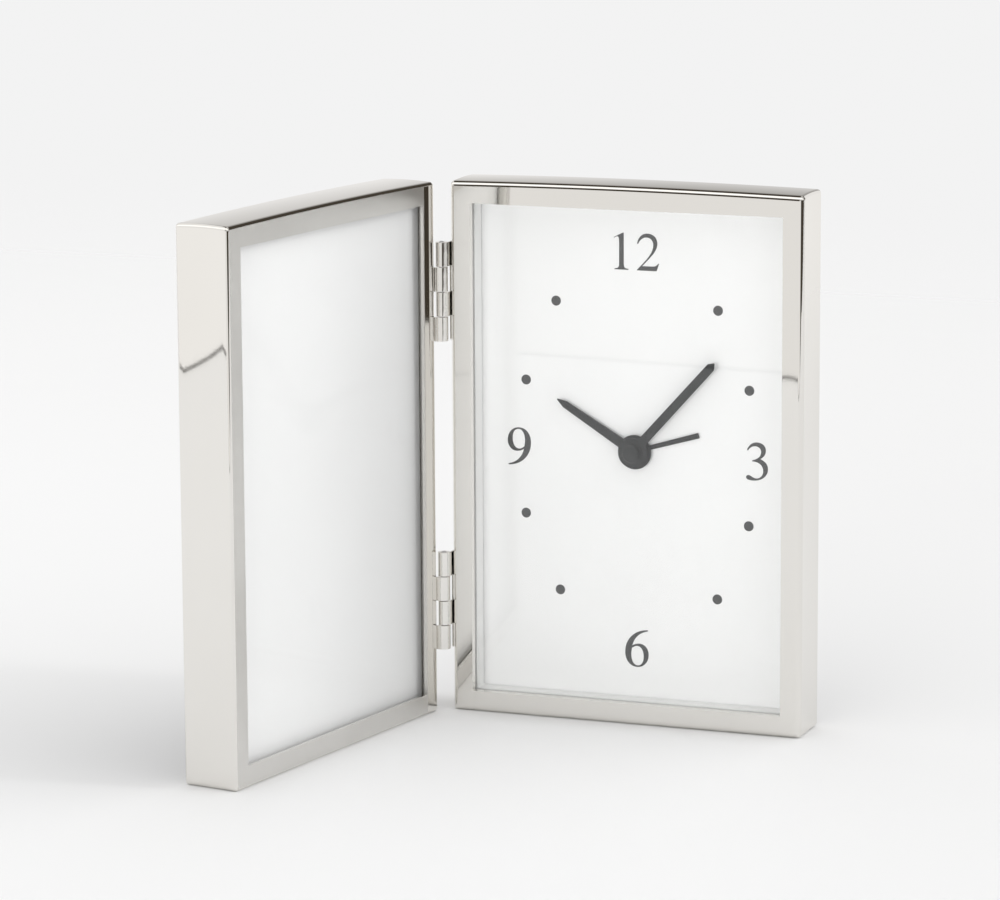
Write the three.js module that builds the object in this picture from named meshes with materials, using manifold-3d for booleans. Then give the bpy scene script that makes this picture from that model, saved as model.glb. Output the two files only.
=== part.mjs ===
// A folding travel alarm clock: a clock panel and a photo-frame panel of the same size, joined by two
// small butt hinges so that they stand open like a book or close face to face.
// Millimetres, +Z up. The origin is the centre of the clock case's bottom face, and the dial faces -Y.
// Inside a panel, depth is measured from its front face towards its back.

import * as THREE from 'three';
import { mergeVertices } from 'three/addons/utils/BufferGeometryUtils.js';
import Module from 'manifold-3d';

const wasm = await Module();
wasm.setup();

// ---------------------------------------------------------------- driving dimensions

const PANEL_WIDTH = 109;
const PANEL_HEIGHT = 160;
const PANEL_DEPTH = 17.5;
const BORDER = 6.3;              // visible metal rim around each window
const WALL = 3.5;                // side walls of the cast cases
const CORNER = 1.2;              // corner radius seen from the front
const CLOCK_EDGE = 1.5;          // front edge radius of each case
const FRAME_EDGE = 1.0;
const BACK_EDGE = 0.8;
const TOP_BOW = 0.6;             // rise of a case's top between its corners
const TOP_DOME = 0.3;            // bulge of its top between front and back
const SIDE_BOW = 0.08;           // and of its outer side
const CLOCK_LIP = 2.3;           // thickness of the rim in front of the clock's glass
const FRAME_LIP = 1.0;
const GAP = 0.3;                 // clearance between stacked pieces
const GLASS = 1.8;

const OPEN_ANGLE = 99.84;        // between the two faces, as the clock stands
const HINGE_SIDE = 2.238;        // hinge axis outside each panel's inner side
const HINGE_FRONT = 1.0;         // hinge axis in front of the faces
const HINGE_LENGTH = 29.6;
const HINGE_HEIGHTS = { lower: 33.7, upper: 127.2 };
const KNUCKLES = 4;
const KNUCKLE_RADIUS = 1.85;
const KNUCKLE_GAP = 0.2;
const PIN_RADIUS = 0.8;
const PIN_CLEARANCE = 0.1;
const LEAF = 0.6;
const LEAF_GAP = 0.1;
const LEAF_START = 1.4;          // depth where the flat leaf begins
const LEAF_WIDTH = 10;

const DIAL_HEIGHT = 80.5;        // height of the dial's centre
const DIAL_FRONT = 10.6;
const DIAL = 0.8;
const BOARD_FRONT = 13.0;
const BOARD = 2.1;
const CLIP_FRONT = 15.4;
const CLIP = 0.8;
const CLIP_REACH = 5.7;
const CLIP_WIDTH = 5;
const CLIP_HEIGHTS = { lower: 40, upper: 120 };
const CLIP_INSET = 8;            // clip pivot from the panel's side
const CLIP_TAIL = 2;
const SLOT = { half: 4.4, depth: 1.5 };
const STUD_RADIUS = 1.4;

const MINUTE_ANGLE = 42.0;       // hands, clockwise from twelve
const HOUR_ANGLE = 301.0;
const ALARM_ANGLE = 73.4;
const MINUTE_HAND = { length: 37.8, root: 2.8, end: 2.6, tip: 1.6, hub: 4.5, front: 7.2, thickness: 0.4 };
const HOUR_HAND = { length: 28.3, root: 3.1, end: 2.2, tip: 2.7, hub: 5.15, front: 9.0, thickness: 0.4 };
const ALARM_HAND = { length: 20.6, root: 1.4, end: 1.7, tip: 0.1, hub: 4.2, front: 9.9, thickness: 0.3 };

const MODULE_SIZE = 56;          // the quartz movement's square housing
const MODULE_WALL = 1.0;
const MODULE_FRONT = 11.7;
const MODULE_BACK = 24.3;
const FLANGE = 2.5;              // movement flange held under the back board
const BRIDGE_FRONT = 20.2;
const BRIDGE = 0.8;
const ARBOR_CLEARANCE = 0.1;

const CELL = { radius: 5.25, length: 44.5, nub: 1.2, depth: 18.1, drop: 20.6 };
const BAY_TOP = 14.0;            // battery bay's top wall below the dial's centre

const half = { width: PANEL_WIDTH / 2, cavity: PANEL_WIDTH / 2 - WALL, window: PANEL_WIDTH / 2 - BORDER };
const degrees = THREE.MathUtils.degToRad;

// ---------------------------------------------------------------- finishes

const FINISH = {
  nickel: { color: 0xd9d7d2, roughness: 0.06, metalness: 1 },
  steel: { color: 0xb9bbbd, roughness: 0.3, metalness: 1 },
  brass: { color: 0xc9a552, roughness: 0.35, metalness: 1 },
  copper: { color: 0xb56a3a, roughness: 0.4, metalness: 1 },
  glass: { color: 0xe9f2ee, roughness: 0.03, metalness: 0, transparent: true, opacity: 0.25 },
  dial: { color: 0xf1f2f0, roughness: 0.8, metalness: 0 },
  paper: { color: 0xf7f7f7, roughness: 0.75, metalness: 0 },
  whitePlastic: { color: 0xf0f0ee, roughness: 0.5, metalness: 0 },
  handGrey: { color: 0x4d4f4f, roughness: 0.5, metalness: 0.2 },
  blackPlastic: { color: 0x202123, roughness: 0.55, metalness: 0 },
  board: { color: 0x26262a, roughness: 0.95, metalness: 0 },
  circuit: { color: 0x2c6b3f, roughness: 0.6, metalness: 0 },
  cell: { color: 0x8d8f94, roughness: 0.35, metalness: 0.5 },
};

// ---------------------------------------------------------------- solids

// A closed geometry becomes a solid. Triangles that shrink to a line on a lathe's axis are dropped.
function solid(geometry) {
  geometry.deleteAttribute('normal');
  geometry.deleteAttribute('uv');
  const merged = mergeVertices(geometry, 1e-4);
  const corners = merged.index.array;
  const kept = [];
  for (let i = 0; i < corners.length; i += 3) {
    const [a, b, c] = corners.slice(i, i + 3);
    if (a !== b && b !== c && c !== a) kept.push(a, b, c);
  }
  const vertProperties = merged.attributes.position.array;
  return new wasm.Manifold(new wasm.Mesh({ numProp: 3, vertProperties, triVerts: new Uint32Array(kept) }));
}

function join(first, ...others) {
  return others.reduce((whole, other) => whole.add(other), first);
}

function cut(first, ...others) {
  return others.reduce((whole, other) => whole.subtract(other), first);
}

// A box from x0 to x1, from depth y0 to y1 and from height z0 to z1.
function box(x0, x1, y0, y1, z0, z1) {
  const geometry = new THREE.BoxGeometry(x1 - x0, y1 - y0, z1 - z0);
  return solid(geometry.translate((x0 + x1) / 2, (y0 + y1) / 2, (z0 + z1) / 2));
}

// A round rod along the depth, from y0 to y1, at (x, z).
function rod(radius, y0, y1, x = 0, z = 0, sides = 16) {
  const geometry = new THREE.CylinderGeometry(radius, radius, y1 - y0, sides);
  return solid(geometry.translate(x, (y0 + y1) / 2, z));
}

// A round rod that stands upright, from z0 to z1, at (x, y).
function post(radius, z0, z1, x, y, sides = 20) {
  const geometry = new THREE.CylinderGeometry(radius, radius, z1 - z0, sides).rotateX(Math.PI / 2);
  return solid(geometry.translate(x, y, (z0 + z1) / 2));
}

// A flat outline in x and z, made thick from depth y0 to y1.
function plate(shape, y0, y1, curveSegments = 8) {
  const geometry = new THREE.ExtrudeGeometry(shape, { depth: y1 - y0, bevelEnabled: false, curveSegments });
  return solid(geometry.rotateX(Math.PI / 2).translate(0, y1, 0));
}

// A rectangle centred at (x, z) with rounded corners.
function roundedRectangle(width, height, radius, x = 0, z = 0) {
  const [w, h] = [width / 2 - radius, height / 2 - radius];
  const shape = new THREE.Shape();
  shape.absarc(x + w, z + h, radius, 0, Math.PI / 2);
  shape.absarc(x - w, z + h, radius, Math.PI / 2, Math.PI);
  shape.absarc(x - w, z - h, radius, Math.PI, Math.PI * 1.5);
  shape.absarc(x + w, z - h, radius, Math.PI * 1.5, Math.PI * 2);
  shape.closePath();
  return shape;
}

function part(group, name, body, finish) {
  const { vertProperties, triVerts } = body.getMesh();
  const geometry = new THREE.BufferGeometry();
  geometry.setAttribute('position', new THREE.BufferAttribute(vertProperties, 3));
  geometry.setIndex(new THREE.BufferAttribute(triVerts, 1));
  geometry.computeVertexNormals();
  const mesh = new THREE.Mesh(geometry, new THREE.MeshStandardMaterial(FINISH[finish]));
  mesh.name = name;
  group.add(mesh);
}

// ---------------------------------------------------------------- cases

// One ring of a case's outside: the front outline pulled in by inset, at one depth. The outer side is at
// +x or -x. It and the top are slightly domed, and the hinge side and the bottom are flat.
function caseRing(inset, depth, outer) {
  const radius = Math.max(CORNER - inset, 0.2);
  const x = half.width - inset - radius;
  const [low, high] = [inset + radius, PANEL_HEIGHT - inset - radius];
  const corners = [[x, high, 0], [-x, high, 1], [-x, low, 2], [x, low, 3]];
  const steps = 3;
  const topSteps = 8;
  const outline = [];
  for (const [cx, cz, quarter] of corners) {
    for (let i = 0; i <= steps; i += 1) {
      const angle = (quarter + i / steps) * Math.PI / 2;
      outline.push([cx + radius * Math.cos(angle), cz + radius * Math.sin(angle)]);
    }
    for (let i = 1; quarter === 0 && i < topSteps; i += 1) {
      outline.push([x * (1 - 2 * i / topSteps), high + radius]);
    }
  }
  const bulge = 4 * (depth / PANEL_DEPTH) * (1 - depth / PANEL_DEPTH);
  return outline.map(([px, pz]) => {
    const rise = TOP_BOW * (1 - (px / half.width) ** 2) + TOP_DOME * bulge;
    const sideways = px * outer > half.width / 2 ? outer * SIDE_BOW * bulge : 0;
    return [px + sideways, depth, pz > PANEL_HEIGHT / 2 ? pz + rise : pz];
  });
}

// A stack of rings with the same number of points, skinned and closed at both ends.
function skin(rings) {
  const count = rings[0].length;
  const index = [];
  for (let r = 0; r + 1 < rings.length; r += 1) {
    for (let i = 0; i < count; i += 1) {
      const j = (i + 1) % count;
      const [a, b] = [r * count + i, r * count + j];
      index.push(a, b, b + count, a, b + count, a + count);
    }
  }
  const last = (rings.length - 1) * count;
  for (let i = 1; i + 1 < count; i += 1) {
    index.push(0, i + 1, i);
    index.push(last, last + i, last + i + 1);
  }
  const geometry = new THREE.BufferGeometry();
  geometry.setAttribute('position', new THREE.Float32BufferAttribute(rings.flat(2), 3));
  geometry.setIndex(index.reverse());
  return solid(geometry);
}

function caseBlock(edge, outer) {
  const rings = [];
  const frontSteps = 3;
  const sideSteps = 4;
  const backSteps = 2;
  for (let i = 0; i <= frontSteps; i += 1) {
    const angle = i / frontSteps * Math.PI / 2;
    rings.push(caseRing(edge * (1 - Math.sin(angle)), edge * (1 - Math.cos(angle)), outer));
  }
  for (let i = 1; i < sideSteps; i += 1) rings.push(caseRing(0, PANEL_DEPTH * i / sideSteps, outer));
  for (let i = 0; i <= backSteps; i += 1) {
    const angle = i / backSteps * Math.PI / 2;
    const inset = BACK_EDGE * (1 - Math.cos(angle));
    rings.push(caseRing(inset, PANEL_DEPTH - BACK_EDGE * (1 - Math.sin(angle)), outer));
  }
  return skin(rings);
}

// The cast case: window, hollow inside, and four slots in the side walls for the turn clips.
function panelCase(lip, edge, outer) {
  const top = PANEL_HEIGHT;
  const window = box(-half.window, half.window, -1, lip + 1, BORDER, top - BORDER);
  const hollow = box(-half.cavity, half.cavity, lip, PANEL_DEPTH + 1, WALL, top - WALL);
  const slots = Object.values(CLIP_HEIGHTS).map((z) => {
    const reach = half.cavity + SLOT.depth;
    return box(-reach, reach, BOARD_FRONT + BOARD, CLIP_FRONT + CLIP + GAP, z - SLOT.half, z + SLOT.half);
  });
  return cut(caseBlock(edge, outer), window, hollow, ...slots);
}

// A flat sheet that fills a case's hollow with a small gap all round.
function sheet(y0, y1) {
  const [x, z] = [half.cavity - GAP, WALL + GAP];
  return box(-x, x, y0, y1, z, PANEL_HEIGHT - z);
}

// Back board of pressed fibre with holes for the clip studs.
function backBoard() {
  const holes = clipPlaces().map(({ x, z }) => rod(STUD_RADIUS + ARBOR_CLEARANCE, 0, PANEL_DEPTH, x, z, 10));
  return cut(sheet(BOARD_FRONT, BOARD_FRONT + BOARD), ...holes);
}

function clipPlaces() {
  return ['left', 'right'].flatMap((side) => Object.entries(CLIP_HEIGHTS).map(([level, z]) => {
    const outward = side === 'left' ? -1 : 1;
    return { name: `${level}_${side}`, outward, x: outward * (half.width - CLIP_INSET), z };
  }));
}

// A turn clip: a rounded steel tongue on a stud, with a low domed head.
function turnClip({ outward, x, z }) {
  const end = CLIP_REACH - CLIP_WIDTH / 2;
  const length = end + CLIP_TAIL + CLIP_WIDTH;
  const middle = x + outward * (end - CLIP_TAIL) / 2;
  const tongue = roundedRectangle(length, CLIP_WIDTH, CLIP_WIDTH / 2 - 0.01, middle, z);
  const headProfile = [[0, 0], [1.9, 0], [1.5, 0.4], [0, 0.6]];
  const head = new THREE.LatheGeometry(headProfile.map(([r, y]) => new THREE.Vector2(r, y)), 10);
  return join(
    plate(tongue, CLIP_FRONT, CLIP_FRONT + CLIP, 3),
    rod(STUD_RADIUS, BOARD_FRONT + GAP, CLIP_FRONT + 0.1, x, z, 10),
    solid(head.translate(x, CLIP_FRONT + CLIP - 0.05, z)),
  );
}

// ---------------------------------------------------------------- hinges

// Half a hinge in the clock panel's frame: a flat leaf on the case's side, and every second knuckle.
// The clock panel's leaf has the first and third knuckle from the top, the frame's the other two.
function hingeLeaf(centre, firstFromTop) {
  const axis = { x: -half.width - HINGE_SIDE, y: -HINGE_FRONT };
  const face = -half.width - LEAF_GAP;
  const [bottom, top] = [centre - HINGE_LENGTH / 2, centre + HINGE_LENGTH / 2];
  const pitch = (HINGE_LENGTH + KNUCKLE_GAP) / KNUCKLES;
  let leaf = box(face - LEAF, face, LEAF_START, LEAF_START + LEAF_WIDTH, bottom, top);
  for (let k = firstFromTop; k < KNUCKLES; k += 2) {
    const high = top - k * pitch;
    const low = high - pitch + KNUCKLE_GAP;
    const neck = box(face - LEAF, face, axis.y, LEAF_START + 0.1, low, high);
    leaf = join(leaf, neck, post(KNUCKLE_RADIUS, low, high, axis.x, axis.y));
  }
  const bore = post(PIN_RADIUS + PIN_CLEARANCE, bottom - 1, top + 1, axis.x, axis.y, 16);
  return cut(leaf, bore);
}

function hingePin(centre) {
  const overhang = 0.3;
  const reach = HINGE_LENGTH / 2 + overhang;
  return post(PIN_RADIUS, centre - reach, centre + reach, -half.width - HINGE_SIDE, -HINGE_FRONT, 16);
}

// ---------------------------------------------------------------- gears

// A gear outline with stub teeth, one tooth centred on the angle start.
function gearShape(teeth, module, start, bore = 0) {
  const pitchRadius = teeth * module / 2;
  const [root, tip] = [pitchRadius - 1.1 * module, pitchRadius + 0.75 * module];
  const step = 2 * Math.PI / teeth;
  const corners = [[root, -0.29], [tip, -0.12], [tip, 0.12], [root, 0.29]];
  const points = [];
  for (let tooth = 0; tooth < teeth; tooth += 1) {
    for (const [radius, share] of corners) {
      const angle = start + (tooth + share) * step;
      points.push(new THREE.Vector2(radius * Math.cos(angle), radius * Math.sin(angle)));
    }
  }
  const shape = new THREE.Shape(points);
  if (bore > 0) shape.holes.push(new THREE.Path().absarc(0, 0, bore, 0, Math.PI * 2, true));
  return shape;
}

function gear(teeth, module, start, y0, y1, place) {
  return plate(gearShape(teeth, module, start), y0, y1).translate(place.x, 0, place.z);
}

// The angle that puts a gear's teeth into the gaps of the gear that it meets, in the given direction.
function meshed(direction, theirTeeth, theirStart, teeth) {
  const theirStep = 2 * Math.PI / theirTeeth;
  const step = 2 * Math.PI / teeth;
  return direction + Math.PI - step * (0.5 - (direction - theirStart) / theirStep);
}

function away(from, direction, distance) {
  return { x: from.x + distance * Math.cos(direction), z: from.z + distance * Math.sin(direction) };
}

const MOTION_MODULE = 0.25;      // cannon pinion, minute wheel, alarm wheel and setting pinions
const HOUR_MODULE = 0.24;
const TRAIN_MODULE = 0.175;
const TEETH = {
  cannon: 12, minuteWheel: 36, minutePinion: 10, hourWheel: 40, timeSetting: 12,
  alarmWheel: 48, alarmSetting: 12, centreWheel: 60, intermediatePinion: 6, intermediateWheel: 54, rotor: 6,
};
const TOWARDS = { minute: degrees(45), alarm: Math.PI, train: degrees(-60), rotor: 0 };
const CENTRE = { x: 0, z: 0 };
const PLACE = { centre: CENTRE };
PLACE.minute = away(CENTRE, TOWARDS.minute, (TEETH.cannon + TEETH.minuteWheel) * MOTION_MODULE / 2);
PLACE.timeKnob = away(PLACE.minute, TOWARDS.minute,
  (TEETH.minuteWheel + TEETH.timeSetting) * MOTION_MODULE / 2);
PLACE.alarmKnob = away(CENTRE, TOWARDS.alarm, (TEETH.alarmWheel + TEETH.alarmSetting) * MOTION_MODULE / 2);
PLACE.train = away(CENTRE, TOWARDS.train,
  (TEETH.centreWheel + TEETH.intermediatePinion) * TRAIN_MODULE / 2);
PLACE.rotor = away(PLACE.train, TOWARDS.rotor, (TEETH.intermediateWheel + TEETH.rotor) * TRAIN_MODULE / 2);

// Nested tubes on the dial's centre, from the outside in.
const TUBE = {
  bush: { outer: 3.6, inner: 2.8 },
  alarm: { outer: 2.7, inner: 1.9 },
  hour: { outer: 1.8, inner: 1.0 },
  minute: { outer: 0.9 },
};
// Depths of the wheels behind the movement's front plate.
const LAYER = {
  alarm: [13.0, 13.6],
  hour: [14.0, 14.6],
  minute: [15.0, 15.6],
  centre: [16.0, 16.5],
  intermediate: [17.0, 17.5],
};
const PIVOT_RADIUS = 0.35;
const SHAFT_RADIUS = 0.8;

// ---------------------------------------------------------------- hands

// A baton hand that points to twelve, with a round hub and a chamfered tip.
function handShape({ length, root, end, tip, hub }, bore) {
  const turn = Math.asin(root / 2 / hub);
  const start = hub * Math.cos(turn);
  const shape = new THREE.Shape();
  shape.moveTo(root / 2, start);
  shape.lineTo(end / 2, length - tip);
  shape.lineTo(0, length);
  shape.lineTo(-end / 2, length - tip);
  shape.lineTo(-root / 2, start);
  shape.absarc(0, 0, hub, Math.PI / 2 + turn, Math.PI / 2 - turn + Math.PI * 2);
  shape.holes.push(new THREE.Path().absarc(0, 0, bore, 0, Math.PI * 2, true));
  return shape;
}

function hand(size, bore, clockwise) {
  const body = plate(handShape(size, bore), size.front, size.front + size.thickness, 12);
  return body.rotate([0, clockwise, 0]);
}

// ---------------------------------------------------------------- movement

const moduleHalf = MODULE_SIZE / 2;

function frontPlate() {
  const size = MODULE_SIZE + 2 * FLANGE;
  const flange = plate(roundedRectangle(size, size, 2), MODULE_FRONT, MODULE_FRONT + MODULE_WALL, 3);
  const bush = rod(TUBE.bush.outer, DIAL_FRONT + 0.1, MODULE_FRONT + 0.1, 0, 0, 24);
  const bore = rod(TUBE.bush.inner, 0, MODULE_BACK, 0, 0, 24);
  const pivot = rod(PIVOT_RADIUS + ARBOR_CLEARANCE, 0, MODULE_BACK, PLACE.rotor.x, PLACE.rotor.z, 10);
  return cut(join(flange, bush), bore, pivot);
}

const SWITCH = { x: 15, z: 21, travel: 3, width: 4, height: 3 };
const BUZZER = { x: -15, z: 15, radius: 9, slots: [3, 5, 5.6, 5, 3], slotPitch: 2.6 };
const DOOR = { halfWidth: 24.2, top: BAY_TOP + 0.4, thickness: 1.0, ribs: 3, ribHalf: 7 };

function rearHousing() {
  const front = MODULE_FRONT + MODULE_WALL + GAP;
  const outer = roundedRectangle(MODULE_SIZE, MODULE_SIZE, 2);
  const hollow = MODULE_SIZE - 2 * MODULE_WALL;
  const inner = roundedRectangle(hollow, hollow, 1.2);
  const inside = MODULE_BACK - MODULE_WALL;
  const cup = cut(plate(outer, front, MODULE_BACK, 3), plate(inner, front - 1, inside, 3));
  const bayWall = box(-moduleHalf + 0.5, moduleHalf - 0.5, front, inside + 0.1, -BAY_TOP - 1, -BAY_TOP);
  const shaft = SHAFT_RADIUS + ARBOR_CLEARANCE;
  const doorHalf = DOOR.halfWidth + GAP;
  const holes = [
    rod(shaft, inside - 1, MODULE_BACK + 1, PLACE.timeKnob.x, PLACE.timeKnob.z, 12),
    rod(shaft, inside - 1, MODULE_BACK + 1, PLACE.alarmKnob.x, PLACE.alarmKnob.z, 12),
    box(SWITCH.x - SWITCH.width / 2 - GAP, SWITCH.x + SWITCH.width / 2 + SWITCH.travel + GAP,
      inside - 1, MODULE_BACK + 1, SWITCH.z - SWITCH.height / 2 - GAP, SWITCH.z + SWITCH.height / 2 + GAP),
    box(-doorHalf, doorHalf, inside, MODULE_BACK + 1, -moduleHalf - 1, -DOOR.top + GAP),
  ];
  BUZZER.slots.forEach((reach, i) => {
    const z = BUZZER.z + (i - 2) * BUZZER.slotPitch;
    holes.push(box(BUZZER.x - reach, BUZZER.x + reach, inside - 1, MODULE_BACK + 1, z - 0.5, z + 0.5));
  });
  // Two notches in the bottom wall let the door's rails pass.
  const [low, high] = [-moduleHalf - 1, -moduleHalf + 1.5];
  for (const side of [-1, 1]) {
    const ends = [side * (DOOR.halfWidth - 1.1), side * (DOOR.halfWidth + 1.3)];
    holes.push(box(Math.min(...ends), Math.max(...ends), inside - 0.9, inside + 0.1, low, high));
  }
  return cut(join(cup, bayWall), ...holes);
}

function batteryDoor() {
  const front = MODULE_BACK - MODULE_WALL + GAP;
  const back = front + DOOR.thickness;
  const pieces = [];
  // An L-shaped rail on each side runs behind the housing's edge.
  const [low, high] = [-moduleHalf + 1.5, -DOOR.top - 0.6];
  for (const side of [-1, 1]) {
    const [x0, x1, x2] = [DOOR.halfWidth - 0.8, DOOR.halfWidth, DOOR.halfWidth + 1].map((x) => side * x);
    pieces.push(box(Math.min(x0, x1), Math.max(x0, x1), front - 0.9, front + 0.1, low, high));
    pieces.push(box(Math.min(x0, x2), Math.max(x0, x2), front - 0.9, front - 0.5, low, high));
  }
  for (let i = 0; i < DOOR.ribs; i += 1) {
    const z = -moduleHalf + 3 + i * 1.6;
    pieces.push(box(-DOOR.ribHalf, DOOR.ribHalf, back - 0.1, back + 0.5, z - 0.35, z + 0.35));
  }
  return join(box(-DOOR.halfWidth, DOOR.halfWidth, front, back, -moduleHalf, -DOOR.top), ...pieces);
}

function gearBridge() {
  const shape = roundedRectangle(25.6, 25, 2, -0.2, 0.5);
  const bridge = plate(shape, BRIDGE_FRONT, BRIDGE_FRONT + BRIDGE, 3);
  const pivot = PIVOT_RADIUS + ARBOR_CLEARANCE;
  const shaft = SHAFT_RADIUS + ARBOR_CLEARANCE;
  const holes = [
    [PLACE.centre, pivot], [PLACE.minute, pivot], [PLACE.train, pivot], [PLACE.rotor, pivot],
    [PLACE.timeKnob, shaft], [PLACE.alarmKnob, shaft],
  ].map(([{ x, z }, radius]) => rod(radius, BRIDGE_FRONT - 1, BRIDGE_FRONT + BRIDGE + 1, x, z, 12));
  return cut(bridge, ...holes);
}

// A thin arbor that turns in the bridge, and at its front end behind or in the front plate.
function arbor({ x, z }, front) {
  return rod(PIVOT_RADIUS, front, BRIDGE_FRONT + BRIDGE - 0.1, x, z, 10);
}

// The cannon pinion's arbor carries the minute hand at the front and the centre wheel at the back.
function minuteArbor() {
  return join(
    rod(TUBE.minute.outer, MINUTE_HAND.front + 0.6, LAYER.minute[0] + 0.1, 0, 0, 16),
    gear(TEETH.cannon, MOTION_MODULE, 0, LAYER.minute[0], LAYER.minute[1] + 0.15, CENTRE),
    rod(PIVOT_RADIUS, LAYER.minute[1], BRIDGE_FRONT + BRIDGE - 0.1, 0, 0, 16),
  );
}

function centreWheel() {
  const bore = PIVOT_RADIUS + 0.05;
  return plate(gearShape(TEETH.centreWheel, TRAIN_MODULE, 0, bore), ...LAYER.centre, 8);
}

const minuteStart = meshed(TOWARDS.minute, TEETH.cannon, 0, TEETH.minuteWheel);

function minuteWheel() {
  const pinionStart = meshed(TOWARDS.minute, TEETH.hourWheel, 0, TEETH.minutePinion);
  return join(
    gear(TEETH.minuteWheel, MOTION_MODULE, minuteStart, LAYER.minute[0], LAYER.minute[1], PLACE.minute),
    gear(TEETH.minutePinion, HOUR_MODULE, pinionStart, LAYER.hour[0], LAYER.minute[0] + 0.1, PLACE.minute),
    arbor(PLACE.minute, LAYER.alarm[1] + GAP),
  );
}

function hourWheel() {
  const tube = rod(TUBE.hour.outer, HOUR_HAND.front + 0.6, LAYER.hour[0] + 0.1, 0, 0, 20);
  const bore = rod(TUBE.hour.inner, 0, MODULE_BACK, 0, 0, 16);
  return cut(join(tube, gear(TEETH.hourWheel, HOUR_MODULE, 0, ...LAYER.hour, CENTRE)), bore);
}

function alarmWheel() {
  const tube = rod(TUBE.alarm.outer, ALARM_HAND.front + 0.4, LAYER.alarm[0] + 0.1, 0, 0, 24);
  const bore = rod(TUBE.alarm.inner, 0, MODULE_BACK, 0, 0, 20);
  return cut(join(tube, gear(TEETH.alarmWheel, MOTION_MODULE, 0, ...LAYER.alarm, CENTRE)), bore);
}

const pinionStart = meshed(TOWARDS.train, TEETH.centreWheel, 0, TEETH.intermediatePinion);

function intermediateWheel() {
  return join(
    gear(TEETH.intermediatePinion, TRAIN_MODULE, pinionStart, LAYER.centre[0] - 0.1,
      LAYER.intermediate[0] + 0.1, PLACE.train),
    gear(TEETH.intermediateWheel, TRAIN_MODULE, 0, ...LAYER.intermediate, PLACE.train),
    arbor(PLACE.train, LAYER.alarm[1] + GAP),
  );
}

function rotor() {
  const start = meshed(TOWARDS.rotor, TEETH.intermediateWheel, 0, TEETH.rotor);
  const [front, back] = LAYER.intermediate;
  return join(
    gear(TEETH.rotor, TRAIN_MODULE, start, front - 0.1, back + 0.4, PLACE.rotor),
    rod(2.2, back + 0.3, back + 1.9, PLACE.rotor.x, PLACE.rotor.z, 20),
    arbor(PLACE.rotor, MODULE_FRONT + 0.2),
  );
}

// A setting knob behind the movement, its shaft, and the pinion at its front end.
function settingKnob(place, teeth, start, [y0, y1]) {
  const knobFront = MODULE_BACK + 0.4;
  const [radius, depth] = [4.6, 3.2];
  const ridges = 24;
  const rim = new THREE.Shape();
  for (let i = 0; i < ridges * 2; i += 1) {
    const [r, a] = [i % 2 ? radius - 0.25 : radius, i * Math.PI / ridges];
    if (i === 0) rim.moveTo(r, 0);
    else rim.lineTo(r * Math.cos(a), r * Math.sin(a));
  }
  const knob = join(
    plate(rim, knobFront, knobFront + depth),
    rod(radius - 0.9, knobFront + depth - 0.1, knobFront + depth + 0.3, 0, 0, 24),
    rod(SHAFT_RADIUS, y0 + 0.1, knobFront + 0.1, 0, 0, 12),
  );
  const pinion = gear(teeth, MOTION_MODULE, start, y0 - 0.1, y1 + 0.1, place);
  return join(knob.translate(place.x, 0, place.z), pinion);
}

function stator() {
  const { x, z } = PLACE.rotor;
  const depth = [LAYER.intermediate[1] + 0.6, LAYER.intermediate[1] + 1.6];
  const head = plate(roundedRectangle(8, 8, 1.5, x + 0.2, z), ...depth, 3);
  const leg = box(x + 3.5, x + 15.5, ...depth, z - 1.5, z + 1.5);
  return cut(join(head, leg), rod(2.6, depth[0] - 1, depth[1] + 1, x, z, 20));
}

function coil() {
  const { x, z } = PLACE.rotor;
  const middle = LAYER.intermediate[1] + 1.1;
  const winding = box(x + 5.3, x + 13.7, middle - 2.4, middle + 2.4, z - 3.6, z + 3.6);
  const [front, back] = [middle - 2.8, middle + 2.8];
  const flanges = [x + 4.7, x + 13.6].map((x0) => box(x0, x0 + 0.7, front, back, z - 4, z + 4));
  const core = box(x + 4, x + 15, middle - 0.8, middle + 0.8, z - 1.8, z + 1.8);
  return cut(join(winding, ...flanges), core);
}

function circuitBoard() {
  return box(-4, 26, 21.4, 22.2, 11.2, 26.4);
}

function quartzCan() {
  const geometry = new THREE.CylinderGeometry(1, 1, 6, 14).rotateZ(Math.PI / 2);
  return solid(geometry.translate(20, 20.1, 23));
}

function timingChip() {
  return box(7, 12, 20.1, 21.1, 15, 20);
}

function buzzerDisc() {
  return join(
    rod(BUZZER.radius, 21.7, 22.1, BUZZER.x, BUZZER.z, 28),
    rod(BUZZER.radius - 2.5, 22.0, 22.4, BUZZER.x, BUZZER.z, 28),
  );
}

// A leaf spring that the cam side of the hour wheel lets go when the alarm is due.
function alarmContact() {
  const shape = new THREE.Shape([[-22, 19.6], [-11, 19.6], [-8.6, 15.4], [-8.2, 15.6], [-10.7, 20], [-22, 20]]
    .map(([x, y]) => new THREE.Vector2(x, y)));
  const geometry = new THREE.ExtrudeGeometry(shape, { depth: 3, bevelEnabled: false });
  return solid(geometry.translate(0, 0, -8));
}

function batteryContact(side) {
  const x = side * (CELL.length / 2 + 0.3);
  const [low, high] = [-CELL.drop - 3.5, -CELL.drop + 3.5];
  const pad = box(Math.min(x, x + side * 0.4), Math.max(x, x + side * 0.4), 14, 22, low, high);
  const foot = box(Math.min(x, x + side * 3), Math.max(x, x + side * 3), 14, 14.4, low, high);
  return join(pad, foot);
}

function batteryCell() {
  const nubRadius = 1.9;
  const end = CELL.length / 2;
  const shoulder = end - CELL.nub;
  const profile = [[0, -end], [CELL.radius, -end], [CELL.radius, shoulder], [nubRadius, shoulder],
    [nubRadius, end], [0, end]];
  const points = profile.map(([r, along]) => new THREE.Vector2(r, along));
  const geometry = new THREE.LatheGeometry(points, 24).rotateZ(-Math.PI / 2);
  return solid(geometry.translate(0, CELL.depth, -CELL.drop));
}

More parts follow.
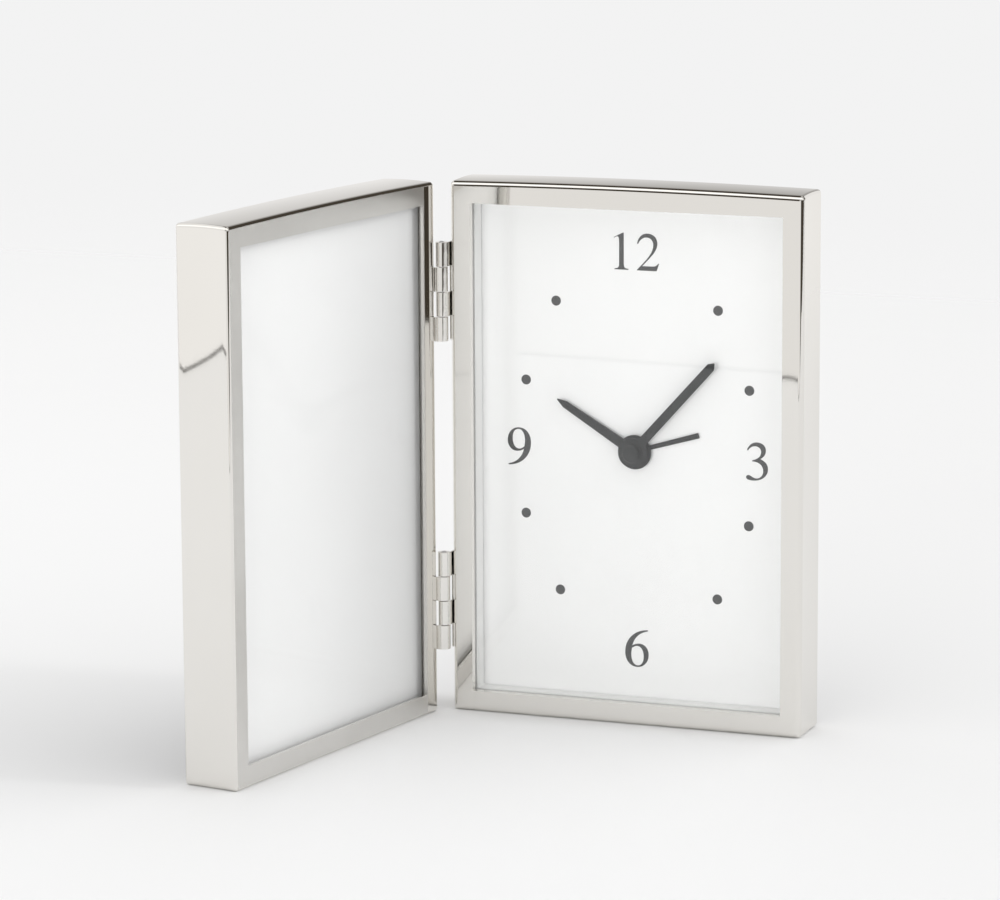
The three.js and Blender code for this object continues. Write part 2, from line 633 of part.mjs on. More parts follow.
function alarmSwitch() {
  const inside = MODULE_BACK - MODULE_WALL;
  const { x, z, width, height } = SWITCH;
  const slider = box(x - 5, x + 5, inside - 0.8, inside - 0.2, z - 3, z + 3);
  const [w, h] = [width / 2, height / 2];
  const button = box(x - w, x + w, inside - 0.3, MODULE_BACK + 1.3, z - h, z + h);
  return join(slider, button);
}

function handCap() {
  const profile = [[0, 4.8], [1.9, 4.85], [2.5, 5.15], [2.7, 5.7], [2.7, 7.0], [0, 7.0]];
  return solid(new THREE.LatheGeometry(profile.map(([r, y]) => new THREE.Vector2(r, y)), 24));
}

// ---------------------------------------------------------------- assembly

const object = new THREE.Group();

// Clock panel: depth 0 is its front face, and the module's pieces are placed from the dial's centre.
const clock = new THREE.Group();
clock.position.y = -PANEL_DEPTH / 2;
object.add(clock);
const movement = new THREE.Group();
movement.position.z = DIAL_HEIGHT;
clock.add(movement);

const spacerFront = CLOCK_LIP + GAP + GLASS + GAP;
const spacerHalf = half.window + 0.2;
const spacerEdge = BORDER - 0.2;
const spacerHole = box(-spacerHalf, spacerHalf, 0, PANEL_DEPTH, spacerEdge, PANEL_HEIGHT - spacerEdge);
const openingHalf = moduleHalf + 0.4;
const [openingLow, openingHigh] = [DIAL_HEIGHT - openingHalf, DIAL_HEIGHT + openingHalf];
const boardHole = box(-openingHalf, openingHalf, 0, PANEL_DEPTH, openingLow, openingHigh);
const dialHole = rod(TUBE.bush.outer + 0.2, 0, PANEL_DEPTH, 0, DIAL_HEIGHT, 24);

part(clock, 'clock_case', panelCase(CLOCK_LIP, CLOCK_EDGE, 1), 'nickel');
part(clock, 'clock_glass', sheet(CLOCK_LIP + GAP, CLOCK_LIP + GAP + GLASS), 'glass');
part(clock, 'dial_spacer', cut(sheet(spacerFront, DIAL_FRONT - GAP), spacerHole), 'whitePlastic');
part(clock, 'dial_plate', cut(sheet(DIAL_FRONT, DIAL_FRONT + DIAL), dialHole), 'dial');
part(clock, 'clock_back_board', cut(backBoard(), boardHole), 'board');
for (const place of clipPlaces()) part(clock, `clock_clip_${place.name}`, turnClip(place), 'steel');

part(movement, 'movement_front_plate', frontPlate(), 'blackPlastic');
part(movement, 'movement_rear_housing', rearHousing(), 'blackPlastic');
part(movement, 'gear_bridge', gearBridge(), 'whitePlastic');
part(movement, 'circuit_board', circuitBoard(), 'circuit');
part(movement, 'quartz_crystal', quartzCan(), 'steel');
part(movement, 'timing_chip', timingChip(), 'blackPlastic');
part(movement, 'stator', stator(), 'steel');
part(movement, 'drive_coil', coil(), 'copper');
part(movement, 'alarm_buzzer', buzzerDisc(), 'brass');
part(movement, 'alarm_contact_spring', alarmContact(), 'brass');
part(movement, 'battery_contact_plus', batteryContact(1), 'steel');
part(movement, 'battery_contact_minus', batteryContact(-1), 'steel');
part(movement, 'battery', batteryCell(), 'cell');
part(movement, 'battery_door', batteryDoor(), 'blackPlastic');
part(movement, 'alarm_switch', alarmSwitch(), 'blackPlastic');

part(movement, 'minute_arbor', minuteArbor(), 'brass');
part(movement, 'centre_wheel', centreWheel(), 'brass');
part(movement, 'minute_wheel', minuteWheel(), 'whitePlastic');
part(movement, 'hour_wheel', hourWheel(), 'whitePlastic');
part(movement, 'alarm_wheel', alarmWheel(), 'whitePlastic');
part(movement, 'intermediate_wheel', intermediateWheel(), 'whitePlastic');
part(movement, 'rotor', rotor(), 'steel');
const timeStart = meshed(TOWARDS.minute, TEETH.minuteWheel, minuteStart, TEETH.timeSetting);
const alarmStart = meshed(TOWARDS.alarm, TEETH.alarmWheel, 0, TEETH.alarmSetting);
const timeKnob = settingKnob(PLACE.timeKnob, TEETH.timeSetting, timeStart, LAYER.minute);
const alarmKnob = settingKnob(PLACE.alarmKnob, TEETH.alarmSetting, alarmStart, LAYER.alarm);
part(movement, 'time_set_knob', timeKnob, 'blackPlastic');
part(movement, 'alarm_set_knob', alarmKnob, 'blackPlastic');

part(movement, 'alarm_hand', hand(ALARM_HAND, TUBE.alarm.outer + 0.1, ALARM_ANGLE), 'handGrey');
part(movement, 'hour_hand', hand(HOUR_HAND, TUBE.hour.outer + 0.1, HOUR_ANGLE), 'handGrey');
part(movement, 'minute_hand', hand(MINUTE_HAND, TUBE.minute.outer + 0.1, MINUTE_ANGLE), 'handGrey');
part(movement, 'hand_cap', handCap(), 'handGrey');

// Hinges: the pin and one leaf belong to the clock panel.
for (const [level, centre] of Object.entries(HINGE_HEIGHTS)) {
  part(clock, `${level}_hinge_clock_leaf`, hingeLeaf(centre, 0), 'nickel');
  part(clock, `${level}_hinge_pin`, hingePin(centre), 'steel');
}

// Frame panel: built like the clock panel, mirrored in the hinge axis, and folded forward about it.
const fold = new THREE.Group();
fold.position.set(-half.width - HINGE_SIDE, -PANEL_DEPTH / 2 - HINGE_FRONT, 0);
fold.rotation.z = degrees(180 - OPEN_ANGLE);
object.add(fold);
const frame = new THREE.Group();
frame.position.set(-half.width - HINGE_SIDE, HINGE_FRONT, 0);
fold.add(frame);

const photoFront = FRAME_LIP + GAP + GLASS + GAP;
const photoBack = photoFront + 0.4;
const trayFront = photoBack + GAP;
const TRAY = { floor: 1.2, wall: 3 };
const pocketHalf = half.cavity - TRAY.wall;
const pocketLow = WALL + TRAY.wall;
const pocketHigh = PANEL_HEIGHT - pocketLow;
const trayPocket = box(-pocketHalf, pocketHalf, trayFront + TRAY.floor, PANEL_DEPTH, pocketLow, pocketHigh);

part(frame, 'frame_case', panelCase(FRAME_LIP, FRAME_EDGE, -1), 'nickel');
part(frame, 'frame_glass', sheet(FRAME_LIP + GAP, FRAME_LIP + GAP + GLASS), 'glass');
part(frame, 'photo_insert', sheet(photoFront, photoBack), 'paper');
part(frame, 'photo_backing_tray', cut(sheet(trayFront, BOARD_FRONT - GAP), trayPocket), 'whitePlastic');
part(frame, 'frame_back_board', backBoard(), 'board');
for (const place of clipPlaces()) part(frame, `frame_clip_${place.name}`, turnClip(place), 'steel');
for (const [level, centre] of Object.entries(HINGE_HEIGHTS)) {
  part(frame, `${level}_hinge_frame_leaf`, hingeLeaf(centre, 1).mirror([1, 0, 0]), 'nickel');
}

export default object;
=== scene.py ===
"""Looks for the folding travel alarm clock: a clock panel and a photo-frame panel on two small hinges."""

import math

import bmesh
import bpy
from mathutils import Matrix, Vector


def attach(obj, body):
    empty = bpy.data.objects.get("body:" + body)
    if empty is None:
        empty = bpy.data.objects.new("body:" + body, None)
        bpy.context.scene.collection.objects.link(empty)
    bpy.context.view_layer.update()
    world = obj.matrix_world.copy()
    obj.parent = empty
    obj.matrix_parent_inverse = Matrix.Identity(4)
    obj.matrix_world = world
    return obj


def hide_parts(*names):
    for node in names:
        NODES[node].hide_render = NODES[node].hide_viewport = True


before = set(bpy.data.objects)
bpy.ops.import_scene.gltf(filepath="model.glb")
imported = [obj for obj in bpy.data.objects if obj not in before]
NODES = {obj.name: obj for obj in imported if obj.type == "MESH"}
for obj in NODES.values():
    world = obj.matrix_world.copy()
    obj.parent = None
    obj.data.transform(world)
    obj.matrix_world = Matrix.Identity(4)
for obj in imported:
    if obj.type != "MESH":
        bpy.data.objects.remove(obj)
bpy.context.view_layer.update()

# ---------------------------------------------------------------- dimensions, in millimetres
# They repeat the CAD's, except SIDE_HOLLOW: the CAD's outer sides bulge a little instead. Inside a panel,
# x is across it, z is up and depth runs back from its front face.

MM = 0.001
WIDTH, HEIGHT, DEPTH = 109.0, 160.0, 17.5
BORDER = 6.3
WALL = 3.5
CORNER, LEAST_CORNER = 1.2, 0.25
FRONT_EDGES = {"clock": 1.5, "frame": 1.0}
BACK_EDGE = 0.8
TOP_BOW = 0.6                   # rise of a case's top between its corners
TOP_DOME = 0.3                  # bulge of its top between front and back
SIDE_HOLLOW = 0.16              # how far polishing has dished its outer side
FINE_EDGE = 0.18                # rounding of its cut edges, such as the window's
HALF = WIDTH / 2
WINDOW = HALF - BORDER
CAVITY, CAVITY_CORNER = HALF - WALL, 0.8
GAP = 0.3
SHEET_CORNER = 0.5
GLASS, CARD, DIAL = 1.8, 0.4, 0.8
CLOCK_LIP, FRAME_LIP = 2.3, 1.0
DIAL_FRONT = 10.6
DIAL_HEIGHT = 80.5
BOARD_FRONT, BOARD = 13.0, 2.1
CLIP_FRONT, CLIP = 15.4, 0.8
CLIP_HEIGHTS = {"lower": 40.0, "upper": 120.0}
CLIP_INSET = 8.0
CLIP_TAIL, CLIP_REACH, CLIP_HALF = 4.5, 5.7, 2.5    # from its stud inwards, outwards and to either side
SLOT_DEEP, SLOT_HALF = 1.5, 4.4                     # the slots in the case's sides that the clips turn into
STUD_HOLE = 1.5
MOVEMENT_HALF, MOVEMENT_CORNER = 28.4, 2.2
ARBOR_HOLE = 3.8

HINGE_SIDE, HINGE_FRONT = 2.238, 1.0                # from the case's side and front to the pin's axis
HINGE_LENGTH = 29.6
HINGE_HEIGHTS = {"lower": 33.7, "upper": 127.2}
LEAF_GAP, LEAF = 0.1, 0.6                           # between a leaf and the case, and its thickness
LEAF_FRONT, LEAF_BACK = 1.4, 11.4                   # depths of its two edges
KNUCKLE_RADIUS, KNUCKLE_GAP, PIN_RADIUS = 1.85, 0.2, 0.8
OPEN_ANGLE = 99.84              # degrees between the two front faces
FOLD_ANGLE = math.radians(180 - OPEN_ANGLE)

MINUTE_ANGLE, HOUR_ANGLE, ALARM_ANGLE = 42.0, 301.0, 73.4   # clockwise from 12, in degrees

CLOCK_PLACE = Matrix.Translation((0, -DEPTH / 2, 0))
FRAME_PLACE = (
    Matrix.Translation((-HALF - HINGE_SIDE, -DEPTH / 2 - HINGE_FRONT, 0))
    @ Matrix.Rotation(FOLD_ANGLE, 4, "Z")
    @ Matrix.Translation((-HALF - HINGE_SIDE, HINGE_FRONT, 0))
)
DIAL_PLACE = CLOCK_PLACE @ Matrix.Translation((0, 0, DIAL_HEIGHT))
MIRROR = Matrix.Scale(-1, 4, (1, 0, 0))

# ---------------------------------------------------------------- materials


def new_material(name):
    """An empty material, its node tree and its output."""
    material = bpy.data.materials.new(name)
    material.use_nodes = True
    tree = material.node_tree
    tree.nodes.clear()
    return material, tree, tree.nodes.new("ShaderNodeOutputMaterial")


def add(tree, kind, inputs=None, **settings):
    """A new node with its settings, and its inputs given as values or as sockets to link."""
    node = tree.nodes.new(kind)
    for key, value in settings.items():
        setattr(node, key, value)
    for key, value in (inputs or {}).items():
        if isinstance(value, bpy.types.NodeSocket):
            tree.links.new(value, node.inputs[key])
        else:
            node.inputs[key].default_value = value
    return node


def first_node(tree, kind):
    return next(node for node in tree.nodes if node.bl_idname == kind)


def maths(tree, operation, *values):
    return add(tree, "ShaderNodeMath", dict(enumerate(values)), operation=operation).outputs[0]


def chained(tree, operation, values):
    """All the values joined by one operation, such as their sum."""
    result, *others = values
    for value in others:
        result = maths(tree, operation, result, value)
    return result


def smooth_ramp(tree, value, start, end, first=0.0, last=1.0):
    """Goes smoothly from first, where the value is at start, to last, where it is at end."""
    node = add(tree, "ShaderNodeMapRange", {
        "Value": value, "From Min": start, "From Max": end, "To Min": first, "To Max": last,
    }, interpolation_type="SMOOTHSTEP")
    return node.outputs["Result"]


def place_in_metres(tree, stretch=(1, 1, 1)):
    where = add(tree, "ShaderNodeTexCoord")
    mapping = add(tree, "ShaderNodeMapping", {"Vector": where.outputs["Object"], "Scale": stretch})
    return mapping.outputs["Vector"]


def noise(tree, where, scale, detail):
    return add(tree, "ShaderNodeTexNoise", {"Vector": where, "Scale": scale, "Detail": detail}).outputs["Fac"]


def relief(tree, height, distance, **under):
    """The normal of a surface raised by a texture, by distance in metres, on top of the relief under it."""
    node = add(tree, "ShaderNodeBump", {"Height": height, "Strength": 1.0, "Distance": distance, **under})
    return node.outputs["Normal"]


COLOUR_ENDS = (0.3, 0.7)        # most noise lies between these


def blend_of(tree, factor, low, high):
    """Goes from low to high, two numbers or two colours, with a factor from 0 to 1."""
    if isinstance(low, (int, float)):
        node = add(tree, "ShaderNodeMapRange", {"Value": factor, "To Min": low, "To Max": high})
        return node.outputs["Result"]
    ramp = add(tree, "ShaderNodeValToRGB", {"Fac": factor})
    for element, position, colour in zip(ramp.color_ramp.elements, COLOUR_ENDS, (low, high)):
        element.position = position
        element.color = (*colour, 1)
    return ramp.outputs["Color"]


def surface(name, low, high, roughness, grain, bump, stretch=(1, 1, 1), wave=None, **uniform):
    """A Principled material. Its colour drifts with broad noise. Its roughness and bump follow fine grain.

    low and high are the two ends of its colour, roughness a pair, grain the noise scales in 1/m for drift and
    bump, bump its height in metres, and wave an extra broad bump as (scale, height)."""
    material, tree, output = new_material(name)
    where = place_in_metres(tree, stretch)
    drift = noise(tree, where, grain[0], 5.0)
    fine = noise(tree, where, grain[1], 3.0)
    normal = relief(tree, fine, bump)
    if wave:
        scale, height = wave
        normal = relief(tree, noise(tree, where, scale, 0.0), height, Normal=normal)
    shader = add(tree, "ShaderNodeBsdfPrincipled", {
        "Base Color": blend_of(tree, drift, low, high),
        "Roughness": blend_of(tree, fine, *roughness),
        "Normal": normal,
        **uniform,
    })
    tree.links.new(shader.outputs["BSDF"], output.inputs["Surface"])
    return material


def shaded_along(material, axis, start, end, first, last):
    """Paints shade into a surface's colour, scaling it from first at start to last at end, which are metres
    along an axis.
    """
    tree = material.node_tree
    shader = first_node(tree, "ShaderNodeBsdfPrincipled")
    where = add(tree, "ShaderNodeSeparateXYZ", {0: add(tree, "ShaderNodeTexCoord").outputs["Object"]})
    share = smooth_ramp(tree, where.outputs[axis], start, end, first, last)
    colour = shader.inputs["Base Color"].links[0].from_socket
    scaled = add(tree, "ShaderNodeVectorMath", {0: colour, "Scale": share}, operation="SCALE")
    tree.links.new(scaled.outputs["Vector"], shader.inputs["Base Color"])


STRAIGHT_SHINE = 0.04           # the share of light that glass mirrors straight on


def clear_glass(name, tint, shine_share):
    """A pane that tints what is behind it and mirrors more towards grazing angles, as glass does.

    shine_share is 1 for plain glass and less for glass with a coating against reflections."""
    material, tree, output = new_material(name)
    facing = add(tree, "ShaderNodeLayerWeight", {"Blend": 0.5}).outputs["Facing"]
    steep = maths(tree, "POWER", facing, 5.0)
    plain = maths(tree, "MULTIPLY_ADD", steep, 1 - STRAIGHT_SHINE, STRAIGHT_SHINE)
    share = maths(tree, "MULTIPLY", plain, shine_share)
    smear = noise(tree, place_in_metres(tree), 35.0, 4.0)
    shine = add(tree, "ShaderNodeBsdfPrincipled", {
        "Base Color": blend_of(tree, smear, (0.97, 0.98, 0.975), (1.0, 1.0, 1.0)),
        "Roughness": blend_of(tree, smear, 0.0, 0.03),
        "Metallic": 1.0,
    })
    see = add(tree, "ShaderNodeBsdfTransparent", {"Color": (*tint, 1)})
    mix = add(tree, "ShaderNodeMixShader", {0: share, 1: see.outputs[0], 2: shine.outputs[0]})
    tree.links.new(mix.outputs[0], output.inputs["Surface"])
    return material


def banded(name, colours, scale, axis, roughness, bump, metallic):
    """Fine parallel bands, as on a wound coil or turned metal."""
    material, tree, output = new_material(name)
    bands = add(tree, "ShaderNodeTexWave", {
        "Vector": place_in_metres(tree), "Scale": scale, "Distortion": 0.4, "Detail": 1.0,
    }, bands_direction=axis).outputs["Fac"]
    shader = add(tree, "ShaderNodeBsdfPrincipled", {
        "Base Color": blend_of(tree, bands, *colours),
        "Roughness": blend_of(tree, bands, *roughness),
        "Metallic": metallic,
        "Normal": relief(tree, bands, bump),
    })
    tree.links.new(shader.outputs["BSDF"], output.inputs["Surface"])
    return material


def printed_circuit(name):
    """Green lacquer over copper tracks."""
    material, tree, output = new_material(name)
    tracks = add(tree, "ShaderNodeTexBrick", {
        "Vector": place_in_metres(tree), "Scale": 260.0, "Mortar Size": 0.06,
        "Color1": (0, 0, 0, 1), "Color2": (0, 0, 0, 1), "Mortar": (1, 1, 1, 1),
    }).outputs["Fac"]
    shader = add(tree, "ShaderNodeBsdfPrincipled", {
        "Base Color": blend_of(tree, tracks, (0.010, 0.075, 0.028), (0.03, 0.16, 0.05)),
        "Roughness": 0.35,
        "Coat Weight": 0.5,
        "Normal": relief(tree, tracks, 0.00003),
    })
    tree.links.new(shader.outputs["BSDF"], output.inputs["Surface"])
    return material


nickel = surface(
    "polished_nickel", (0.78, 0.762, 0.728), (0.80, 0.783, 0.75), (0.015, 0.035), (18, 1500), 0.0000004,
    wave=(28, 0.00009), Metallic=1.0)
satin = surface(
    "satin_nickel", (0.68, 0.668, 0.645), (0.71, 0.698, 0.675), (0.3, 0.36), (60, 2600), 0.0000008,
    Metallic=1.0)
hinge_metal = surface(
    "hinge_nickel", (0.76, 0.745, 0.715), (0.79, 0.775, 0.745), (0.05, 0.11), (60, 2600), 0.0000015,
    wave=(300, 0.00002), Metallic=1.0)
steel = surface(
    "bright_steel", (0.52, 0.52, 0.53), (0.62, 0.62, 0.63), (0.18, 0.34), (120, 3000), 0.000004,
    stretch=(1, 1, 6), Metallic=1.0)
brass = surface(
    "brass", (0.62, 0.44, 0.17), (0.74, 0.55, 0.26), (0.22, 0.38), (150, 3500), 0.000004, Metallic=1.0)
dial_card = surface(
    "dial_card", (0.888, 0.888, 0.885), (0.903, 0.903, 0.900), (0.55, 0.7), (40, 3800), 0.000006)
insert_card = surface(
    "photo_card", (0.77, 0.77, 0.77), (0.785, 0.785, 0.785), (0.5, 0.62), (30, 4200), 0.000004)
# Painted shade: a soft fade in the card's colour makes the card in the photo frame darker towards the hinges,
# where the clock panel shades it.
shaded_along(insert_card, "Y", -0.085, -0.015, 1.035, 0.915)
printing = surface(
    "dial_printing", (0.044, 0.045, 0.046), (0.054, 0.055, 0.056), (0.5, 0.65), (500, 6000), 0.000003)
hand_paint = surface(
    "hand_paint", (0.010, 0.011, 0.012), (0.018, 0.019, 0.020), (0.22, 0.32), (400, 5000), 0.000006,
    **{"Specular IOR Level": 0.35})
white_plastic = surface(
    "white_plastic", (0.86, 0.86, 0.85), (0.90, 0.90, 0.89), (0.38, 0.5), (80, 2500), 0.000005)
black_plastic = surface(
    "black_plastic", (0.012, 0.012, 0.013), (0.022, 0.022, 0.024), (0.42, 0.62), (90, 2600), 0.000030)
flocking = surface(
    "flocked_board", (0.010, 0.010, 0.012), (0.030, 0.030, 0.034), (0.85, 1.0), (110, 5200), 0.00009,
    **{"Sheen Weight": 0.5, "Sheen Roughness": 0.4})
sleeve = surface(
    "cell_sleeve", (0.20, 0.21, 0.23), (0.30, 0.31, 0.33), (0.25, 0.4), (60, 1500), 0.000003, Metallic=0.6)
copper = banded(
    "copper_wire", ((0.36, 0.13, 0.05), (0.72, 0.30, 0.13)), 2600, "X", (0.25, 0.4), 0.00003, 1.0)
turned_white = banded(
    "moulded_gear", ((0.72, 0.72, 0.70), (0.84, 0.84, 0.82)), 900, "Y", (0.35, 0.5), 0.00001, 0.0)
circuit = printed_circuit("circuit_green")
clock_pane = clear_glass("clock_pane", (0.993, 0.994, 0.993), 1.0)
photo_pane = clear_glass("photo_pane", (0.992, 0.993, 0.992), 0.2)

# ---------------------------------------------------------------- meshes


def mesh_from(vertices, faces, name="shape"):
    mesh = bpy.data.meshes.new(name)
    mesh.from_pydata([tuple(v) for v in vertices], [], [tuple(f) for f in faces])
    mesh.update()
    return mesh


def evaluated(obj):
    """The object's mesh with its modifiers applied. The object is removed."""
    bpy.context.view_layer.update()
    graph = bpy.context.evaluated_depsgraph_get()
    mesh = bpy.data.meshes.new_from_object(obj.evaluated_get(graph))
    bpy.data.objects.remove(obj)
    return mesh


def loose(mesh_or_curve, name="working"):
    """A plain object in the scene that holds a mesh or a curve."""
    obj = bpy.data.objects.new(name, mesh_or_curve)
    bpy.context.scene.collection.objects.link(obj)
    return obj


def cleaned(mesh, merge=0.002):
    """Joins points that coincide, and turns every face outwards."""
    work = bmesh.new()
    work.from_mesh(mesh)
    bmesh.ops.remove_doubles(work, verts=work.verts, dist=merge)
    bmesh.ops.dissolve_degenerate(work, edges=work.edges, dist=merge)
    bmesh.ops.recalc_face_normals(work, faces=work.faces)
    work.to_mesh(mesh)
    work.free()
    return mesh


def joined(*meshes):
    """One mesh with all the faces of several."""
    work = bmesh.new()
    for mesh in meshes:
        work.from_mesh(mesh)
    whole = bpy.data.meshes.new("joined")
    work.to_mesh(whole)
    work.free()
    return whole


def moved(mesh, matrix):
    """The mesh moved by a matrix, with its faces still outwards if the matrix mirrors it."""
    mesh.transform(matrix)
    if matrix.determinant() < 0:
        mesh.flip_normals()
    return mesh


def circle(radius, x=0.0, z=0.0, steps=48, start=0.0, end=2 * math.pi):
    """Points round a circle, or along an arc with both its ends."""
    whole = abs(end - start) > 2 * math.pi - 1e-6
    count = steps if whole else steps + 1
    angles = [start + (end - start) * i / steps for i in range(count)]
    return [(x + radius * math.cos(a), z + radius * math.sin(a)) for a in angles]


def rounded(x0, x1, z0, z1, radius, steps=8):
    """An oblong with round corners, anticlockwise from its right side."""
    corners = [(x1, z1, 0), (x0, z1, 1), (x0, z0, 2), (x1, z0, 3)]
    points = []
    for x, z, quarter in corners:
        inward_x = x - math.copysign(radius, x - (x0 + x1) / 2)
        inward_z = z - math.copysign(radius, z - (z0 + z1) / 2)
        start = quarter * math.pi / 2
        points += circle(radius, inward_x, inward_z, steps, start, start + math.pi / 2)
    return points


def slab(loops, y0, y1, edge=0.1, resolution=3):
    """Closed outlines in x and z, the first outside and the rest holes, made thick from depth y0 to y1.

    Both rims are rounded by edge."""
    curve = bpy.data.curves.new("outline", "CURVE")
    curve.dimensions = "2D"
    curve.fill_mode = "BOTH"
    curve.extrude = (y1 - y0) / 2 - edge
    curve.bevel_depth = edge
    curve.offset = -edge
    curve.bevel_resolution = resolution
    for loop in loops:
        spline = curve.splines.new("POLY")
        spline.points.add(len(loop) - 1)
        for point, (x, z) in zip(spline.points, loop):
            point.co = (x, z, 0, 1)
        spline.use_cyclic_u = True
    mesh = evaluated(loose(curve))
    bpy.data.curves.remove(curve)
    upright = Matrix.Translation((0, (y0 + y1) / 2, 0)) @ Matrix.Rotation(math.pi / 2, 4, "X")
    mesh.transform(upright)
    return cleaned(mesh)


def lathe(profile, steps=64, upright=False):
    """A profile of (radius, along) turned about the depth, or about the height if upright."""
    vertices, faces = [], []
    for radius, along in profile:
        for i in range(steps):
            a = 2 * math.pi * i / steps
            u, v = radius * math.cos(a), radius * math.sin(a)
            vertices.append((u, v, along) if upright else (u, along, v))
    for r in range(len(profile) - 1):
        for i in range(steps):
            j = (i + 1) % steps
            faces.append((r * steps + i, r * steps + j, (r + 1) * steps + j, (r + 1) * steps + i))
    if profile[0] == profile[-1]:
        return cleaned(mesh_from(vertices, faces))
    for ring in (0, len(profile) - 1):
        if profile[ring][0] > 0:
            faces.append([ring * steps + i for i in range(steps)])
    return cleaned(mesh_from(vertices, faces))


def soft_profile(corners, radius, steps=4):
    """A lathe profile with its inner corners rounded by radius, or by less where the sides are short."""
    profile = [corners[0]]
    for before, corner, after in zip(corners, corners[1:], corners[2:]):
        p, c, n = Vector(before), Vector(corner), Vector(after)
        # It stays just short of half a side, so that two corners never meet.
        reach = min(radius, (p - c).length / 2.01, (n - c).length / 2.01)
        a, b = c + (p - c).normalized() * reach, c + (n - c).normalized() * reach
        for i in range(steps + 1):
            t = i / steps
            q = a * (1 - t) ** 2 + c * 2 * t * (1 - t) + b * t ** 2
            profile.append((q.x, q.y))
    profile.append(corners[-1])
    return profile


def cut_out(mesh, cutters):
    """The mesh without the parts of it that are inside the cutters."""
    obj = loose(mesh)
    helpers = [loose(cutter) for cutter in cutters]
    for helper in helpers:
        modifier = obj.modifiers.new("cut", "BOOLEAN")
        modifier.operation = "DIFFERENCE"
        modifier.object = helper
        modifier.solver = "EXACT"
    result = evaluated(obj)
    for helper in helpers:
        bpy.data.objects.remove(helper)
    return result


def bevelled(mesh, width, segments=2, angle=40):
    """Small rounded edges wherever two faces meet at more than the angle."""
    obj = loose(mesh)
    modifier = obj.modifiers.new("edges", "BEVEL")
    modifier.width = width
    modifier.segments = segments
    modifier.limit_method = "ANGLE"
    modifier.angle_limit = math.radians(angle)
    return evaluated(obj)


def piece(name, mesh, place, body, material, slot, *stands_for, smooth=35):
    """Puts a mesh made in millimetres in its place as a piece of the object.

    body is what it moves with, slot is not used, stands_for names the CAD nodes that it replaces,
    and edges sharper than smooth, in degrees, stay sharp."""
    moved(mesh, Matrix.Scale(MM, 4) @ place)
    mesh.materials.clear()
    mesh.materials.append(material)
    mesh.shade_smooth()
    mesh.set_sharp_from_angle(angle=math.radians(smooth))
    mesh.name = name
    obj = loose(mesh, name)
    flats = obj.modifiers.new("flats stay flat", "WEIGHTED_NORMAL")
    flats.keep_sharp = True
    flats.weight = 100
    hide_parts(*stands_for)
    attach(obj, body)
    return obj


# ---------------------------------------------------------------- cases


def case_ring(inset, depth, outer, steps=8):
    """A ring round a case's outside at one depth. The top is domed.

    The outer side is dished. It is at +x where outer is 1 and at -x where outer is -1."""
    radius = max(CORNER - inset, LEAST_CORNER)
    outline = rounded(-HALF + inset, HALF - inset, inset, HEIGHT - inset, radius, steps)
    reach, top_steps = HALF - inset - radius, 24
    top = [(reach * (1 - 2 * i / top_steps), HEIGHT - inset) for i in range(1, top_steps)]
    outline[steps + 1:steps + 1] = top
    bulge = 4 * (depth / DEPTH) * (1 - depth / DEPTH)
    ring = []
    for x, z in outline:
        rise = TOP_BOW * (1 - (x / HALF) ** 2) + TOP_DOME * bulge
        sideways = -outer * SIDE_HOLLOW * bulge if x * outer > HALF / 2 else 0
        ring.append((x + sideways, depth, z + rise if z > HEIGHT / 2 else z))
    return ring


def case_block(edge, outer):
    """The case's outside, with the round edges that polishing leaves."""
    rings = []
    edge_steps, side_steps = 8, 12
    for i in range(edge_steps + 1):
        a = i / edge_steps * math.pi / 2
        rings.append(case_ring(edge * (1 - math.sin(a)), edge * (1 - math.cos(a)), outer))
    for i in range(1, side_steps):
        rings.append(case_ring(0, edge + (DEPTH - edge - BACK_EDGE) * i / side_steps, outer))
    for i in range(edge_steps + 1):
        a = i / edge_steps * math.pi / 2
        rings.append(case_ring(BACK_EDGE * (1 - math.cos(a)), DEPTH - BACK_EDGE * (1 - math.sin(a)), outer))
    count = len(rings[0])
    faces = [list(range(count)), [(len(rings) - 1) * count + i for i in range(count)]]
    for r in range(len(rings) - 1):
        for i in range(count):
            j = (i + 1) % count
            faces.append((r * count + i, r * count + j, (r + 1) * count + j, (r + 1) * count + i))
    return cleaned(mesh_from([p for ring in rings for p in ring], faces), merge=0.0005)


def plain_box(x0, x1, y0, y1, z0, z1):
    corners = [(x, y, z) for x in (x0, x1) for y in (y0, y1) for z in (z0, z1)]
    faces = [(0, 1, 3, 2), (4, 6, 7, 5), (0, 4, 5, 1), (2, 3, 7, 6), (0, 2, 6, 4), (1, 5, 7, 3)]
    return cleaned(mesh_from(corners, faces))


def case_mesh(lip, edge, outer):
    """A case with its window in front, open at the back, and with slots in its sides for the clips."""
    window = plain_box(-WINDOW, WINDOW, -1, lip + 1, BORDER, HEIGHT - BORDER)
    hollow = slab([rounded(-CAVITY, CAVITY, WALL, HEIGHT - WALL, CAVITY_CORNER)], lip, DEPTH + 1, 0.02, 0)
    reach, slot_back = CAVITY + SLOT_DEEP, CLIP_FRONT + CLIP + GAP
    slots = [
        plain_box(-reach, reach, BOARD_FRONT + BOARD, slot_back, z - SLOT_HALF, z + SLOT_HALF)
        for z in CLIP_HEIGHTS.values()
    ]
    return bevelled(cut_out(case_block(edge, outer), [window, hollow, *slots]), FINE_EDGE, 3)


def filled_sheet(y0, y1, edge, holes=()):
    """A sheet that fills a case's hollow, with a small gap all round."""
    outline = rounded(-CAVITY + GAP, CAVITY - GAP, WALL + GAP, HEIGHT - WALL - GAP, SHEET_CORNER, 4)
    return slab([outline, *holes], y0, y1, edge)


def clip_places():
    """The name, the outward direction, and the x and z of each of a panel's clips."""
    for side, outward in (("left", -1), ("right", 1)):
        for level, z in CLIP_HEIGHTS.items():
            yield f"{level}_{side}", outward, outward * (HALF - CLIP_INSET), z


